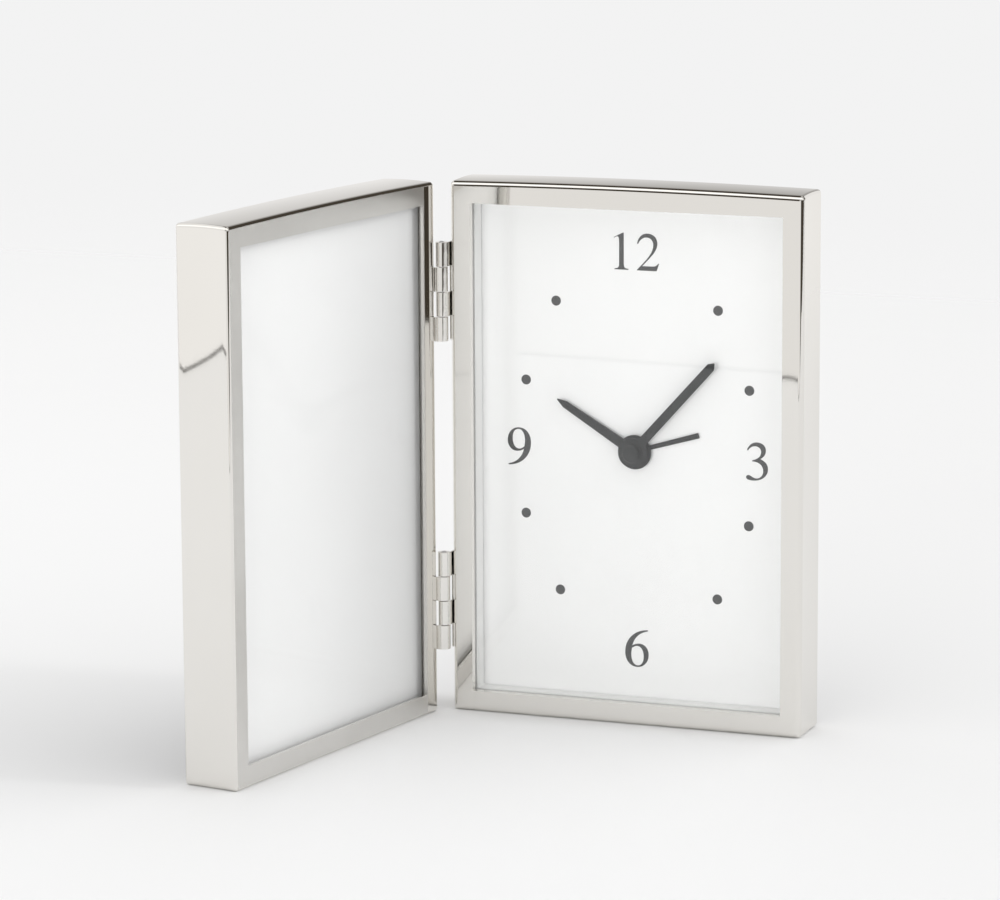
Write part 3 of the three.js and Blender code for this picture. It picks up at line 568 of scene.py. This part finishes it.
def clip_mesh(outward, x, z):
    """A stamped tongue with a raised rib for the finger, held by a domed rivet."""
    back = CLIP_FRONT + CLIP
    tongue = rounded(-CLIP_TAIL, CLIP_REACH, -CLIP_HALF, CLIP_HALF, CLIP_HALF - 0.05, 10)
    rib = rounded(2.5, 4.9, -0.7, 0.7, 0.65, 6)
    tongue_loop, rib_loop = ([(x + outward * u, z + w) for u, w in loop] for loop in (tongue, rib))
    rivet = lathe(soft_profile([
        (0, 0.62), (1.2, 0.52), (1.95, 0.0), (1.95, -0.3), (1.35, -0.35), (1.35, -2.0), (0, -2.0),
    ], 0.4), 40)
    rivet.transform(Matrix.Translation((x, back, z)))
    return joined(
        slab([tongue_loop], CLIP_FRONT, back, 0.15),
        slab([rib_loop], back - 0.2, back + 0.22, 0.15),
        rivet,
    )


def split_across(mesh, x):
    """Splits the faces that cross an upright plane, so that they can have two materials."""
    work = bmesh.new()
    work.from_mesh(mesh)
    everything = [*work.verts, *work.edges, *work.faces]
    bmesh.ops.bisect_plane(work, geom=everything, dist=0.0001, plane_co=(x, 0, 0), plane_no=(1, 0, 0))
    work.to_mesh(mesh)
    work.free()
    return mesh


RIM_SPLIT = WINDOW + 0.5        # the frame's front rim is polished past here, along the hinges


def build_panel(kind, place, lip, pane, outer):
    """A panel's case, glass and clips. It returns the case."""
    shell = split_across(case_mesh(lip, FRONT_EDGES[kind], outer), RIM_SPLIT)
    body = f"{kind}_panel"
    case = piece(f"{kind}_case_shell", shell, place, body, nickel, "polished_nickel", f"{kind}_case",
                 smooth=30)
    glass = filled_sheet(lip + GAP, lip + GAP + GLASS, 0.2)
    piece(f"{kind}_glass_pane", glass, place, body, pane, "glass", f"{kind}_glass")
    for name, outward, x, z in clip_places():
        piece(f"{kind}_turn_clip_{name}", clip_mesh(outward, x, z), place, f"{kind}_clip_{name}_body", steel,
              "steel", f"{kind}_clip_{name}")
    return case


def put_satin_on_rim(case):
    """Makes the photo frame's front rim satin, except along the hinges."""
    case.data.materials.append(satin)
    into_panel = (Matrix.Scale(MM, 4) @ FRAME_PLACE).inverted()
    for face in case.data.polygons:
        centre = into_panel @ face.center
        if abs(centre.y) < 0.01 and centre.x < RIM_SPLIT:
            face.material_index = 1


def build_back_boards():
    """A flocked board behind each panel, with holes for the clips' studs and for the clock's movement."""
    studs = [circle(STUD_HOLE, x, z, 24)[::-1] for _, _, x, z in clip_places()]
    opening = rounded(-MOVEMENT_HALF, MOVEMENT_HALF, DIAL_HEIGHT - MOVEMENT_HALF, DIAL_HEIGHT + MOVEMENT_HALF,
                      MOVEMENT_CORNER)[::-1]
    for kind, place, holes in (("frame", FRAME_PLACE, studs), ("clock", CLOCK_PLACE, [opening, *studs])):
        board = filled_sheet(BOARD_FRONT, BOARD_FRONT + BOARD, 0.25, holes)
        piece(f"{kind}_flocked_back", board, place, f"{kind}_panel", flocking, "flocked_board",
              f"{kind}_back_board")


def build_photo_card():
    front = FRAME_LIP + GAP + GLASS + GAP
    piece("photo_card", filled_sheet(front, front + CARD, 0.05), FRAME_PLACE, "frame_panel", insert_card,
          "photo_card", "photo_insert")


def build_dial_spacer():
    """The white wall between the clock's glass and its dial. It stands just outside the window."""
    front, margin = CLOCK_LIP + GAP + GLASS + GAP, 0.2
    side, foot, top = WINDOW + margin, BORDER - margin, HEIGHT - BORDER + margin
    inside = rounded(-side, side, foot, top, 0.4, 3)[::-1]
    wall = filled_sheet(front, DIAL_FRONT - GAP, 0.25, [inside])
    piece("dial_spacer_wall", wall, CLOCK_PLACE, "clock_panel", white_plastic, "white_plastic", "dial_spacer")


build_panel("clock", CLOCK_PLACE, CLOCK_LIP, clock_pane, 1)
put_satin_on_rim(build_panel("frame", FRAME_PLACE, FRAME_LIP, photo_pane, -1))
build_back_boards()
build_photo_card()
build_dial_spacer()

# ---------------------------------------------------------------- dial


def build_dial_card():
    arbor_hole = circle(ARBOR_HOLE, 0, DIAL_HEIGHT, 48)[::-1]
    card = filled_sheet(DIAL_FRONT, DIAL_FRONT + DIAL, 0.08, [arbor_hole])
    piece("dial_card", card, CLOCK_PLACE, "clock_panel", dial_card, "dial_card", "dial_plate")


# Numeral outlines, in hundredths of their height: M moves, L draws a line, C a cubic curve and Z closes a
# loop. Round feet reach a little below 0, to ROUND_FOOT.
ROUND_FOOT = -2
NUMERALS = {
    "1": "M-2 87 L24 100 L26 100 L26 17 C26 7 28 3 39 3 L39 0 L0 0 L0 3 C11 3 13 7 13 17 L13 72 "
         "C13 85 12 89 8 89 C6 89 3 88 -1 85 Z",
    "2": "M0 71.5 C3 89 13 100 29.5 100 C45 100 57 89.5 57 74 C57 60 48 47.5 35 33.5 C27 25 21 18.5 14.5 12 "
         "L40 12 C51 12 54.5 13.5 59.5 20.5 L62 20.5 L55 0 L0 0 L0 2.5 C12 14 25 27.5 33 38.5 "
         "C41 49.5 45.5 59.5 45.5 70 C45.5 81.5 37.5 89.5 27 89.5 C16.5 89.5 8 83 3 71.5 Z",
    "3": "M3 79 C9 93 18 100 31 100 C46 100 55 91 55 79 C55 70 50 62 40 56 C54 51 61 42 61 30 "
         "C61 12 45 -2 21 -2 C8 -2 1 1 1 6 C1 9.5 4 12 8 12 C14 12 19 4 29 4 C40 4 48 13 48 25 "
         "C48 40 35 49 18 49 L18 52 C33 56 42 63 42 75 C42 84 35 89.5 26 89.5 C18 89.5 11 86 6 77 Z",
    "6": "M64 100 L64 97 C44 94 26 80 20 56 C27 60 33 62 40 62 C55 62 66 50 66 33 C66 13 52 -2 34 -2 "
         "C14 -2 0 14 0 38 C0 72 26 98 60 100 Z M19 49 C18 43 17 38 17 33 C17 14 24 2.5 35 2.5 "
         "C46 2.5 52 12 52 27 C52 44 45 55.5 34 55.5 C29 55.5 25 53 19 49 Z",
}


def cubic(start, first, second, end, t):
    """The point at t, from 0 to 1, along a cubic curve with two guide points."""
    u = 1 - t
    return start * u ** 3 + first * 3 * t * u ** 2 + second * 3 * t ** 2 * u + end * t ** 3


def read_outline(path, steps=10):
    """The closed loops of an outline as lists of points."""
    loops, tokens = [], path.split()
    while tokens:
        command, rest = tokens[0][0], tokens[0][1:]
        if rest:
            tokens[0:1] = [command, rest]
        count = {"M": 2, "L": 2, "C": 6, "Z": 0}[command]
        numbers = [float(token) for token in tokens[1:1 + count]]
        del tokens[:1 + count]
        if command == "M":
            loops.append([tuple(numbers)])
        elif command == "L":
            loops[-1].append(tuple(numbers))
        elif command == "C":
            guides = [Vector(loops[-1][-1]), *(Vector(numbers[k:k + 2]) for k in (0, 2, 4))]
            loops[-1] += [tuple(cubic(*guides, step / steps)) for step in range(1, steps + 1)]
    return loops


def turned_over(loops, width):
    """A numeral turned half round, so that a six is a nine."""
    return [[(width - x, 100 + ROUND_FOOT - z) for x, z in loop] for loop in loops]


def numeral(loops, x, z, height):
    """A numeral with its left edge at x and its foot at z, from the dial's middle."""
    return [[(x + u * height / 100, z + w * height / 100) for u, w in loop] for loop in loops]


SIX = read_outline(NUMERALS["6"])
SIX_WIDTH = 66
DOT_ELLIPSE = (37.2, 59.8)      # half its width and half its height, through the middles of the dots
DOT_RADIUS = 1.5
# The dots aren't printed quite evenly: by hour, how far each is off across and up.
DOT_SHIFTS = {1: (0, -0.45), 5: (0.1, 0.9), 7: (1.4, 0.3), 8: (0.3, -0.6), 10: (0.45, -0.6), 11: (0.3, 0)}


def hour_dot(hour):
    """A round dot on the ellipse where the hour's direction from the dial's middle meets it."""
    angle = math.radians(30 * hour)
    half_width, half_height = DOT_ELLIPSE
    reach = 1 / math.hypot(math.sin(angle) / half_width, math.cos(angle) / half_height)
    x, z = DOT_SHIFTS.get(hour, (0, 0))
    return [circle(DOT_RADIUS, x + reach * math.sin(angle), z + reach * math.cos(angle), 32)]


def build_printing():
    """The numerals and the hour dots, as a thin layer of ink on the dial."""
    marks = [
        numeral(read_outline(NUMERALS["1"]), -6.7, 54.1, 11.0),
        numeral(read_outline(NUMERALS["2"]), 0.3, 54.1, 11.0),
        numeral(read_outline(NUMERALS["3"]), 34.0, -6.2, 11.2),
        numeral(SIX, -3.4, -65.2, 11.2),
        numeral(turned_over(SIX, SIX_WIDTH), -40.5, -6.2, 11.2),
        *(hour_dot(hour) for hour in range(1, 12) if hour % 3),
    ]
    ink = joined(*(slab(loops, DIAL_FRONT - 0.06, DIAL_FRONT + 0.02, 0.01, 0) for loops in marks))
    piece("dial_printing", ink, DIAL_PLACE, "clock_panel", printing, "hand_paint")


build_dial_card()
build_printing()

# ---------------------------------------------------------------- hands


def hand_outline(length, root, end, tip, hub, blunt, lean=0.0):
    """A baton from a round hub. Its width goes evenly from root to end, then over the tip's length to blunt.

    lean moves the blade sideways, as hands are seldom pressed on quite true."""
    turn = math.asin((root / 2 + abs(lean)) / hub)
    return [
        *circle(hub, 0, 0, 56, math.pi / 2 + turn, math.pi / 2 - turn + 2 * math.pi),
        (root / 2 + lean, hub + 0.1),
        (end / 2 + lean, length - tip),
        (blunt / 2 + lean, length),
        (-blunt / 2 + lean, length),
        (-end / 2 + lean, length - tip),
        (-root / 2 + lean, hub + 0.1),
    ]


def build_hand(kind, angle, front, thickness, bore, collet, outline):
    """A blade on a collet, which turns with the train of its kind.

    front is how far the blade lies behind the case's front, and bore and collet are the collet's radii."""
    blade = slab([outline, circle(bore, 0, 0, 40)[::-1]], front, front + thickness, 0.07)
    foot, top = front - 0.3, front + thickness
    profile = [(bore, foot), (collet, foot), (collet, top), (bore, top), (bore, foot)]
    ring = lathe(soft_profile(profile, 0.25), 72)
    mesh = moved(joined(blade, ring), Matrix.Rotation(math.radians(angle), 4, "Y"))
    piece(f"{kind}_hand_blade", mesh, DIAL_PLACE, f"{kind}_train", hand_paint, "hand_paint", f"{kind}_hand")


def build_hand_cap():
    """The turned cap in the middle, on the minute hand."""
    cap = lathe(soft_profile([(0, 4.85), (1.9, 4.88), (2.68, 5.3), (2.7, 6.9), (0, 6.9)], 0.6, 6), 64)
    piece("hand_cap_turned", cap, DIAL_PLACE, "minute_train", hand_paint, "hand_paint", "hand_cap")


build_hand("alarm", ALARM_ANGLE, front=9.95, thickness=0.3, bore=2.8, collet=3.4, outline=hand_outline(
    length=20.6, root=1.35, end=1.65, tip=0.1, hub=4.2, blunt=1.55, lean=-0.15))
build_hand("hour", HOUR_ANGLE, front=9.05, thickness=0.4, bore=1.9, collet=3.6, outline=hand_outline(
    length=28.3, root=3.05, end=2.15, tip=2.8, hub=5.15, blunt=0.25))
build_hand("minute", MINUTE_ANGLE, front=7.25, thickness=0.4, bore=1.0, collet=3.2, outline=hand_outline(
    length=37.8, root=2.75, end=2.6, tip=1.5, hub=4.5, blunt=0.3, lean=-0.15))
build_hand_cap()

# ---------------------------------------------------------------- hinges


def knuckle(low, high):
    """One rolled knuckle and the neck that runs back to its leaf, as a cross-section made tall."""
    axis_x, axis_y = -HALF - HINGE_SIDE, -HINGE_FRONT
    inner, outer, neck_back = -HALF - LEAF_GAP, -HALF - LEAF_GAP - LEAF, 2.0
    meet = math.acos((outer - axis_x) / KNUCKLE_RADIUS)
    leave = -math.radians(25)
    roll = circle(KNUCKLE_RADIUS, axis_x, axis_y, 56, leave, meet - 2 * math.pi)
    crook = [(inner, neck_back), (inner, axis_y + 0.4), (inner - 0.12, axis_y - 0.25)]
    half = (high - low) / 2
    flat = slab([[*crook, *roll, (outer, neck_back)]], -half, half, 0.12)
    # The outline's second number is depth here, so the cross-section is turned to stand upright.
    stand = Matrix(((1, 0, 0, 0), (0, 0, 1, 0), (0, -1, 0, (low + high) / 2), (0, 0, 0, 1)))
    return moved(flat, stand)


def leaf_mesh(centre, first):
    """A leaf on the case's left side with every second knuckle, counted from the top."""
    bottom, top = centre - HINGE_LENGTH / 2, centre + HINGE_LENGTH / 2
    pitch = (HINGE_LENGTH + KNUCKLE_GAP) / 4
    inner = HALF + LEAF_GAP
    leaf = slab([rounded(LEAF_FRONT, LEAF_BACK, bottom, top, 0.4, 4)], inner, inner + LEAF, 0.1)
    against_side = Matrix(((0, -1, 0, 0), (1, 0, 0, 0), (0, 0, 1, 0), (0, 0, 0, 1)))
    knuckles = [knuckle(top - (k + 1) * pitch + KNUCKLE_GAP, top - k * pitch) for k in range(first, 4, 2)]
    return joined(moved(leaf, against_side), *knuckles)


def build_hinge(level, centre):
    """Two leaves and a pin. The frame's leaf is a mirrored one, on the frame's other side."""
    piece(f"{level}_clock_hinge_leaf", leaf_mesh(centre, 0), CLOCK_PLACE, "clock_panel", hinge_metal,
          "polished_nickel", f"{level}_hinge_clock_leaf")
    piece(f"{level}_frame_hinge_leaf", moved(leaf_mesh(centre, 1), MIRROR), FRAME_PLACE, "frame_panel",
          hinge_metal, "polished_nickel", f"{level}_hinge_frame_leaf")
    end, chamfer = HINGE_LENGTH / 2 + 0.3, 0.15
    profile = [(0, -end), (PIN_RADIUS, chamfer - end), (PIN_RADIUS, end - chamfer), (0, end)]
    pin = lathe(soft_profile(profile, 0.3), 32, upright=True)
    pin.transform(Matrix.Translation((-HALF - HINGE_SIDE, -HINGE_FRONT, centre)))
    piece(f"{level}_hinge_pin_rod", pin, CLOCK_PLACE, "clock_panel", steel, "steel", f"{level}_hinge_pin")


for hinge_level, hinge_centre in HINGE_HEIGHTS.items():
    build_hinge(hinge_level, hinge_centre)

# ---------------------------------------------------------------- movement
# Its pieces are the CAD's own, and so is the tray behind the photo.

CAD_FINISH = {
    black_plastic: ["movement_front_plate", "movement_rear_housing", "battery_door", "alarm_switch",
                    "timing_chip", "time_set_knob", "alarm_set_knob"],
    white_plastic: ["gear_bridge", "photo_backing_tray"],
    turned_white: ["minute_wheel", "hour_wheel", "alarm_wheel", "intermediate_wheel"],
    brass: ["minute_arbor", "centre_wheel", "alarm_buzzer", "alarm_contact_spring"],
    steel: ["rotor", "stator", "quartz_crystal", "battery_contact_plus", "battery_contact_minus"],
    copper: ["drive_coil"],
    circuit: ["circuit_board"],
    sleeve: ["battery"],
}
EDGE_WIDTHS = {
    "movement_rear_housing": 0.35, "battery_door": 0.2, "alarm_switch": 0.2, "time_set_knob": 0.12,
    "alarm_set_knob": 0.12,
}


def finish_cad_node(name, material):
    """Gives a CAD node its material and, if it has a width in EDGE_WIDTHS, rounded edges."""
    node = NODES[name]
    node.data.materials.clear()
    node.data.materials.append(material)
    weld = node.modifiers.new("weld", "WELD")
    weld.merge_threshold = 0.001 * MM
    if name in EDGE_WIDTHS:
        edges = node.modifiers.new("edges", "BEVEL")
        edges.width = EDGE_WIDTHS[name] * MM
        edges.segments = 2
        edges.limit_method = "ANGLE"
        edges.angle_limit = math.radians(40)


for cad_material, cad_names in CAD_FINISH.items():
    for cad_name in cad_names:
        finish_cad_node(cad_name, cad_material)

# ---------------------------------------------------------------- floor, in metres

FLOOR_LEFT, FLOOR_RIGHT, FLOOR_NEAR, FLOOR_BACK = -3.0, 1.6, -3.0, 1.6
FRONT_RIGHT = 0.62              # where the table's front edge ends and its side slants back
SIDE_TURN = 0.6                 # where that side meets the floor's right edge
EDGE_MIDDLE, EDGE_SLOPE = -0.592, 0.085     # that front edge's y straight ahead, and its rise per x
EDGE_WIDTH = 0.008              # the polished faces mirror the table's front edge as a thin dark line
BACK_FADE = (0.25, 1.1)         # behind the clock, the floor gives way to the background over this stretch
ROUND_FADE = (0.9, 1.7)         # and so it does everywhere this far from the clock


def floor_material():
    """Pale matt paper, with painted shade that makes it a little darker to the right. Far away it gives way
    to the plain background.
    """
    material = surface("studio_floor", (0.86, 0.86, 0.86), (0.87, 0.87, 0.87), (0.6, 0.7), (3, 900), 0.00001)
    # painted shade: the paper's colour darkens towards the right
    shaded_along(material, "X", -0.5, 0.5, 1.02, 0.94)
    tree = material.node_tree
    matt = first_node(tree, "ShaderNodeBsdfPrincipled")
    output = first_node(tree, "ShaderNodeOutputMaterial")
    where = add(tree, "ShaderNodeTexCoord").outputs["Object"]
    back = add(tree, "ShaderNodeSeparateXYZ", {0: where}).outputs["Y"]
    away = add(tree, "ShaderNodeVectorMath", {0: where}, operation="LENGTH").outputs["Value"]
    far = maths(tree, "MAXIMUM", smooth_ramp(tree, back, *BACK_FADE), smooth_ramp(tree, away, *ROUND_FADE))
    clear = add(tree, "ShaderNodeBsdfTransparent")
    mix = add(tree, "ShaderNodeMixShader", {0: far, 1: matt.outputs[0], 2: clear.outputs[0]})
    tree.links.new(mix.outputs[0], output.inputs["Surface"])
    return material


def floor_part(name, corners, material):
    """A flat piece of floor. Each corner is across and back."""
    mesh = mesh_from([(x, y, 0) for x, y in corners], [range(len(corners))])
    mesh.materials.append(material)
    part = loose(mesh, name)
    return part


def build_floor():
    """A table with a thin dark front edge, which runs a little askew, and more floor in front of it.

    Polished faces mirror the edge and not the floor in front. The camera sees that floor and not the edge."""
    front_left, front_right = ((x, EDGE_MIDDLE + EDGE_SLOPE * x) for x in (FLOOR_LEFT, FRONT_RIGHT))
    inner_left, inner_right = ((x, y + EDGE_WIDTH) for x, y in (front_left, front_right))
    side_turn = (FLOOR_RIGHT, SIDE_TURN)
    paper = floor_material()
    floor_part("studio_floor", [
        inner_left, inner_right, side_turn, (FLOOR_RIGHT, FLOOR_BACK), (FLOOR_LEFT, FLOOR_BACK),
    ], paper)
    near_floor = floor_part("studio_floor_near", [
        (FLOOR_LEFT, FLOOR_NEAR), (FLOOR_RIGHT, FLOOR_NEAR), side_turn, inner_right, inner_left,
    ], paper)
    near_floor.visible_glossy = False
    dark = surface("table_edge", (0.10, 0.095, 0.09), (0.14, 0.13, 0.12), (0.5, 0.6), (30, 900), 0.00001)
    strip = floor_part("table_edge", [front_left, front_right, inner_right, inner_left], dark)
    strip.visible_camera = False
    strip.visible_diffuse = False
    strip.visible_shadow = False


build_floor()

# ---------------------------------------------------------------- room
# A direction is given by its x, y and z, each from -1 to 1: x to the right, y to the back and z up.

BACKGROUND = 0.895              # what the camera sees past the floor
SOFTBOX_ARC = (35.5, 81.5)      # degrees up from the front horizon, over the top
MATT_LIGHT, WINDOW_LIGHT = 0.92, 1.62       # on matt faces, from most of the room and from its window
WINDOW_WAY = (0.80, 0.50, 0.33)
SHADE, SHADE_COLOUR = 0.065, (1.0, 0.84, 0.66, 1)   # polished faces mirror this brown where it is dark


def mirrored_room(tree, x, y, z):
    """How bright the room is where polished metal and glass mirror it."""

    def ramp(value, start, end):
        return smooth_ramp(tree, value, start, end)

    def total(*values):
        return chained(tree, "ADD", values)

    def product(*values):
        return chained(tree, "MULTIPLY", values)

    def brightest(*values):
        return chained(tree, "MAXIMUM", values)

    def inverse(value):
        return maths(tree, "SUBTRACT", 1.0, value)

    def past_arc(degrees):
        """The sine of how far the direction is past an angle, up from the front horizon and over the top."""
        angle = math.radians(degrees)
        return total(product(z, math.cos(angle)), product(y, math.sin(angle)))

    above = ramp(z, -0.02, 0.02)
    softbox_start, softbox_end = (past_arc(degrees) for degrees in SOFTBOX_ARC)
    softbox = product(ramp(softbox_start, 0.0, 0.05), inverse(ramp(softbox_end, -0.05, 0.0)), 1.3)

    # The back wall on the left, darker higher up and brighter at its far left.
    wall = product(above, ramp(y, 0.0, 0.1), inverse(ramp(z, 0.55, 0.8)), ramp(x, 0.12, 0.0))
    wall_height = maths(tree, "SUBTRACT", 0.76, product(ramp(z, 0.0, 0.42), 0.38))
    wall = product(wall, wall_height, total(0.82, product(ramp(x, -0.30, -0.38), 0.28)))

    # White boards: a low one at the back on the right, and one on the left, in front or high up.
    right_board = product(above, ramp(x, 0.0, 0.12), ramp(x, 0.44, 0.36), ramp(y, 0.3, 0.6),
                          ramp(z, 0.46, 0.36))
    left_board = product(above, ramp(x, -0.40, -0.46), brightest(ramp(z, 0.40, 0.50), ramp(y, 0.4, 0.2)))
    boards = product(total(right_board, left_board), 0.9)

    # The rest above the horizon is dim, and it is dark on the left and low at the back.
    dim = product(above, ramp(x, -0.25, -0.18), brightest(ramp(y, 0.55, 0.35), ramp(z, 0.62, 0.75)), 0.5)

    # Below the horizon it is white, except to the right.
    to_right = total(product(x, 0.966), product(y, -0.259))
    low_white = total(0.87, product(ramp(x, -0.40, -0.60), 0.12), product(ramp(y, 0.0, 0.5), 0.06))
    low_white = product(low_white, inverse(above), inverse(ramp(to_right, 0.61, 0.69)))
    return total(brightest(softbox, wall, boards, dim), low_white)


def build_world():
    """A white room. The camera sees it plain, and polished faces mirror its parts.

    Matt faces are lit by all of it evenly, but for one brighter window."""
    world = bpy.data.worlds.new("studio")
    bpy.context.scene.world = world
    world.use_nodes = True
    tree = world.node_tree
    tree.nodes.clear()
    way = add(tree, "ShaderNodeTexCoord").outputs["Generated"]
    mirrored = mirrored_room(tree, *add(tree, "ShaderNodeSeparateXYZ", {0: way}).outputs)
    window = add(tree, "ShaderNodeVectorMath", {0: way, 1: WINDOW_WAY}, operation="DOT_PRODUCT")
    even = smooth_ramp(tree, window.outputs["Value"], 0.45, 0.95, MATT_LIGHT, WINDOW_LIGHT)
    rays = add(tree, "ShaderNodeLightPath").outputs
    lit = add(tree, "ShaderNodeMix", {0: rays["Is Glossy Ray"], 2: even, 3: mirrored}, data_type="FLOAT")
    seen = add(tree, "ShaderNodeMix", {
        0: rays["Is Camera Ray"], 2: lit.outputs[0], 3: BACKGROUND,
    }, data_type="FLOAT")
    room = add(tree, "ShaderNodeBackground", {"Color": (1, 1, 1, 1), "Strength": seen.outputs[0]})
    shade_strength = maths(tree, "MULTIPLY", rays["Is Glossy Ray"], SHADE)
    shade = add(tree, "ShaderNodeBackground", {"Color": SHADE_COLOUR, "Strength": shade_strength})
    both = add(tree, "ShaderNodeAddShader", {0: room.outputs[0], 1: shade.outputs[0]})
    add(tree, "ShaderNodeOutputWorld", {"Surface": both.outputs[0]})


build_world()

# ---------------------------------------------------------------- lamps and camera, in metres

LENS, SENSOR = 166.0, 36.0      # millimetres
CAMERA_PLACE = (0.4370, -1.2643, 0.3367)
YAW, PITCH, ROLL = (math.radians(degrees) for degrees in (20.7625, -10.8072, -0.3066))  # from facing back


def area_lamp(name, size, power, place, target):
    """A soft lamp that lights matt surfaces and does not show as a reflection."""
    lamp = bpy.data.lights.new(name, "AREA")
    lamp.shape = "RECTANGLE"
    lamp.size, lamp.size_y = size
    lamp.energy = power
    obj = bpy.data.objects.new(name, lamp)
    bpy.context.scene.collection.objects.link(obj)
    obj.location = place
    obj.rotation_mode = "QUATERNION"
    obj.rotation_quaternion = (Vector(target) - obj.location).to_track_quat("-Z", "Y")
    obj.visible_glossy = False
    obj.visible_camera = False


def place_camera():
    camera = bpy.data.cameras.new("camera")
    camera.sensor_width = SENSOR
    camera.lens = LENS
    camera.clip_start, camera.clip_end = 0.05, 50.0
    camera_object = bpy.data.objects.new("camera", camera)
    bpy.context.scene.collection.objects.link(camera_object)
    forward = Vector((-math.sin(YAW) * math.cos(PITCH), math.cos(YAW) * math.cos(PITCH), math.sin(PITCH)))
    level = Vector((math.cos(YAW), math.sin(YAW), 0))
    upright = level.cross(forward)
    right = level * math.cos(ROLL) + upright * math.sin(ROLL)
    up = upright * math.cos(ROLL) - level * math.sin(ROLL)
    turn = Matrix((right, up, -forward)).transposed().to_4x4()
    camera_object.matrix_world = Matrix.Translation(CAMERA_PLACE) @ turn
    bpy.context.scene.camera = camera_object
    bpy.context.scene.view_settings.view_transform = "Standard"


area_lamp("key_strip", (0.37, 2.1), 19, (3.14, 0.293, 1.507), (-0.02, -0.04, 0.05))
area_lamp("front_fill", (0.75, 0.5), 13, (-0.12, -2.0, 0.15), (0, 0, 0.08))
place_camera()
